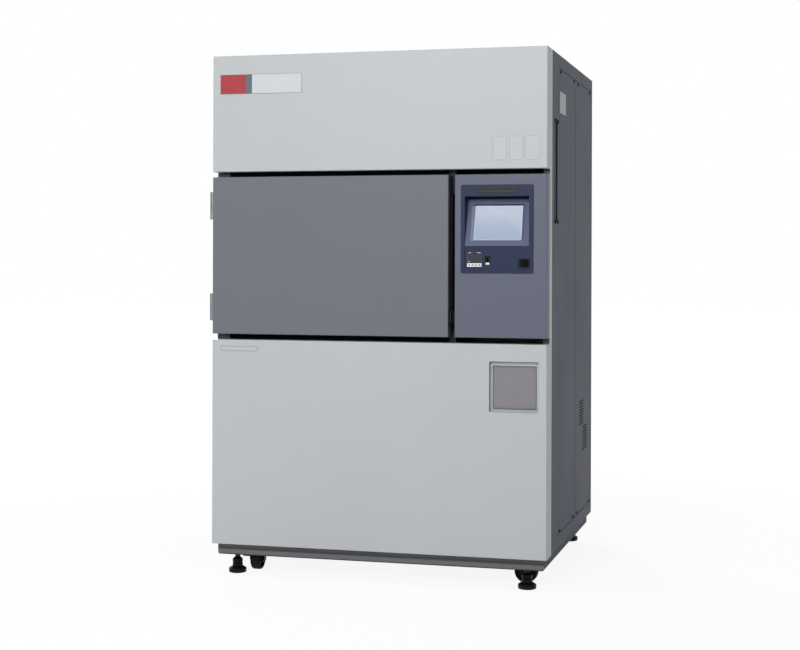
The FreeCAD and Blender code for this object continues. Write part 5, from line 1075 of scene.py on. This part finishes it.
def seal_profile(half_width, height, points=40):
    """Closed section: a flattened oval pinched to a neck between its foot and its bulb.

    For a turn t, rise = H / 2 (1 + sign(sin t) |sin t|^0.7) and width = W sign(cos t)
    |cos t|^0.5, less the pinch 0.35 exp(-((rise - 0.3 H) / 0.12 H)^2) of itself."""
    turn = np.linspace(0, 2 * math.pi, points, endpoint=False)
    rise = height / 2 * (1 + np.sign(np.sin(turn)) * abs(np.sin(turn)) ** 0.7)
    width = half_width * np.sign(np.cos(turn)) * abs(np.cos(turn)) ** 0.5
    pinch = 1 - 0.35 * np.exp(-((rise - 0.3 * height) / (0.12 * height)) ** 2)
    return np.stack([width * pinch, rise], -1)


def silicone_finish():
    """Grey silicone: matt, slightly dusty, with fine lines along the drawn section."""
    finish = Finish("grey_silicone", Specular_IOR_Level=0.3)
    cloud = finish.noise(0.03, detail=4)
    lines = finish.noise(0.0006, stretch=(20, 1, 20))
    finish.feed("Base Color", finish.blend(cloud, paint(120, 121, 122), paint(138, 139, 140)))
    finish.feed("Roughness", 0.6 + cloud * 0.15)
    return finish.relief(lines, 0.00005)


seal_low, seal_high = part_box("door_gasket")
section = seal_profile(SEAL_HALF, seal_high[1] - seal_low[1])
seal_centre = ((seal_low[0] + seal_high[0]) / 2, seal_low[1], (seal_low[2] + seal_high[2]) / 2)
seal_size = (seal_high[0] - seal_low[0] - 2 * SEAL_HALF, seal_high[2] - seal_low[2] - 2 * SEAL_HALF)
seal_grid = rounded_rings(seal_centre, FRONT, seal_size, SEAL_CORNER, -section, steps=8)
door_seal = make_piece("door_seal", [seal_grid], "door", silicone_finish(),
                       wrap_rows=True, crease=70)
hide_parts("door_gasket")

# %% [markdown]
# ## Light, floor and background
#
# A product photograph like this one is lit by large soft boxes: one in front, above the camera, a
# weaker one from the right that keeps the side readable, one overhead that draws the bright line
# along each top edge, and one behind for the views from the rear. The world adds an even fill at a
# level where a paint shows about as it is written, and is white only where the camera or a
# reflection looks at it. The floor is mostly its own white towards the camera, so that the edge of
# the picture stays clean while the shadow remains.

# %% World
WORLD_FILL = 0.16
WHITE = (1, 1, 1, 1)


def white_world(fill):
    """World that lights with a fill strength and shows white to camera, gloss and glass."""
    world = bpy.data.worlds.new("studio")
    network = Network(world)
    shown = network.rays("Is Camera Ray", "Is Transmission Ray", "Is Glossy Ray")
    dim, bright = (network.node("ShaderNodeBackground", values={"Color": WHITE, "Strength": level})
                   for level in (fill, 1.0))
    network.show("ShaderNodeOutputWorld",
                 network.node("ShaderNodeMixShader", values={0: shown, 1: dim, 2: bright}))
    bpy.context.scene.world = world
    print("world fill", fill)


white_world(WORLD_FILL)

# %% Soft boxes
CENTRE = (0.0, 0.0, 0.9)


def soft_box(name, place, size, power):
    """Rectangular lamp turned so that it faces the middle of the chamber."""
    data = bpy.data.lights.new(name, "AREA")
    data.shape = "RECTANGLE"
    data.size, data.size_y = size
    data.energy = power
    lamp = bpy.data.objects.new(name, data)
    lamp.location = place
    aim = np.array(place) - np.array(CENTRE)
    flat = math.hypot(aim[0], aim[1])
    lamp.rotation_euler = (math.atan2(flat, aim[2]), 0, math.atan2(aim[0], -aim[1]))
    bpy.context.scene.collection.objects.link(lamp)
    print(name, power, "W")


soft_box("key", (-0.5, -6.4, 3.1), (2.4, 2.4), 288)
soft_box("side_fill", (5.2, -1.0, 3.9), (2.4, 2.8), 34)
soft_box("overhead", (0.2, -0.6, 4.6), (3.0, 3.0), 34)
soft_box("rear_fill", (-2.8, 5.4, 2.8), (2.6, 2.6), 300)

# %% Floor
FLOOR_REACH = 30.0
FLOOR_PAINT = (0.85, 0.85, 0.85, 1)
FLOOR_WHITE = 0.88
FLOOR_GLOW = 1.03
SHADOW_REACH = (1.4, 3.2)


def floor_material():
    """Plain paint that is mostly its own white to the camera, and wholly so far from the middle."""
    material = bpy.data.materials.new("pale_floor")
    network = Network(material)
    painted = network.node("ShaderNodeBsdfDiffuse", values={"Color": FLOOR_PAINT})
    glow = network.node("ShaderNodeEmission", values={"Color": WHITE, "Strength": FLOOR_GLOW})
    point = network.node("ShaderNodeTexCoord", output="Object")
    distance = network.node("ShaderNodeVectorMath", {"operation": "LENGTH"}, {0: point},
                            output="Value")
    shown = network.rays("Is Camera Ray", "Is Glossy Ray")
    share = shown * network.rise(distance, *SHADOW_REACH, low=FLOOR_WHITE)
    network.show("ShaderNodeOutputMaterial",
                 network.node("ShaderNodeMixShader", values={0: share, 1: painted, 2: glow}))
    return material


def add_floor(reach):
    """Square floor about the middle, out to a reach on each side."""
    mesh = bpy.data.meshes.new("floor")
    corners = [(-reach, -reach, 0), (reach, -reach, 0), (reach, reach, 0), (-reach, reach, 0)]
    mesh.from_pydata(corners, [], [(0, 1, 2, 3)])
    mesh.materials.append(floor_material())
    floor = bpy.data.objects.new("floor", mesh)
    bpy.context.scene.collection.objects.link(floor)
    print("floor", 2 * reach, "m across")


add_floor(FLOOR_REACH)
bpy.context.scene.view_settings.view_transform = "Standard"
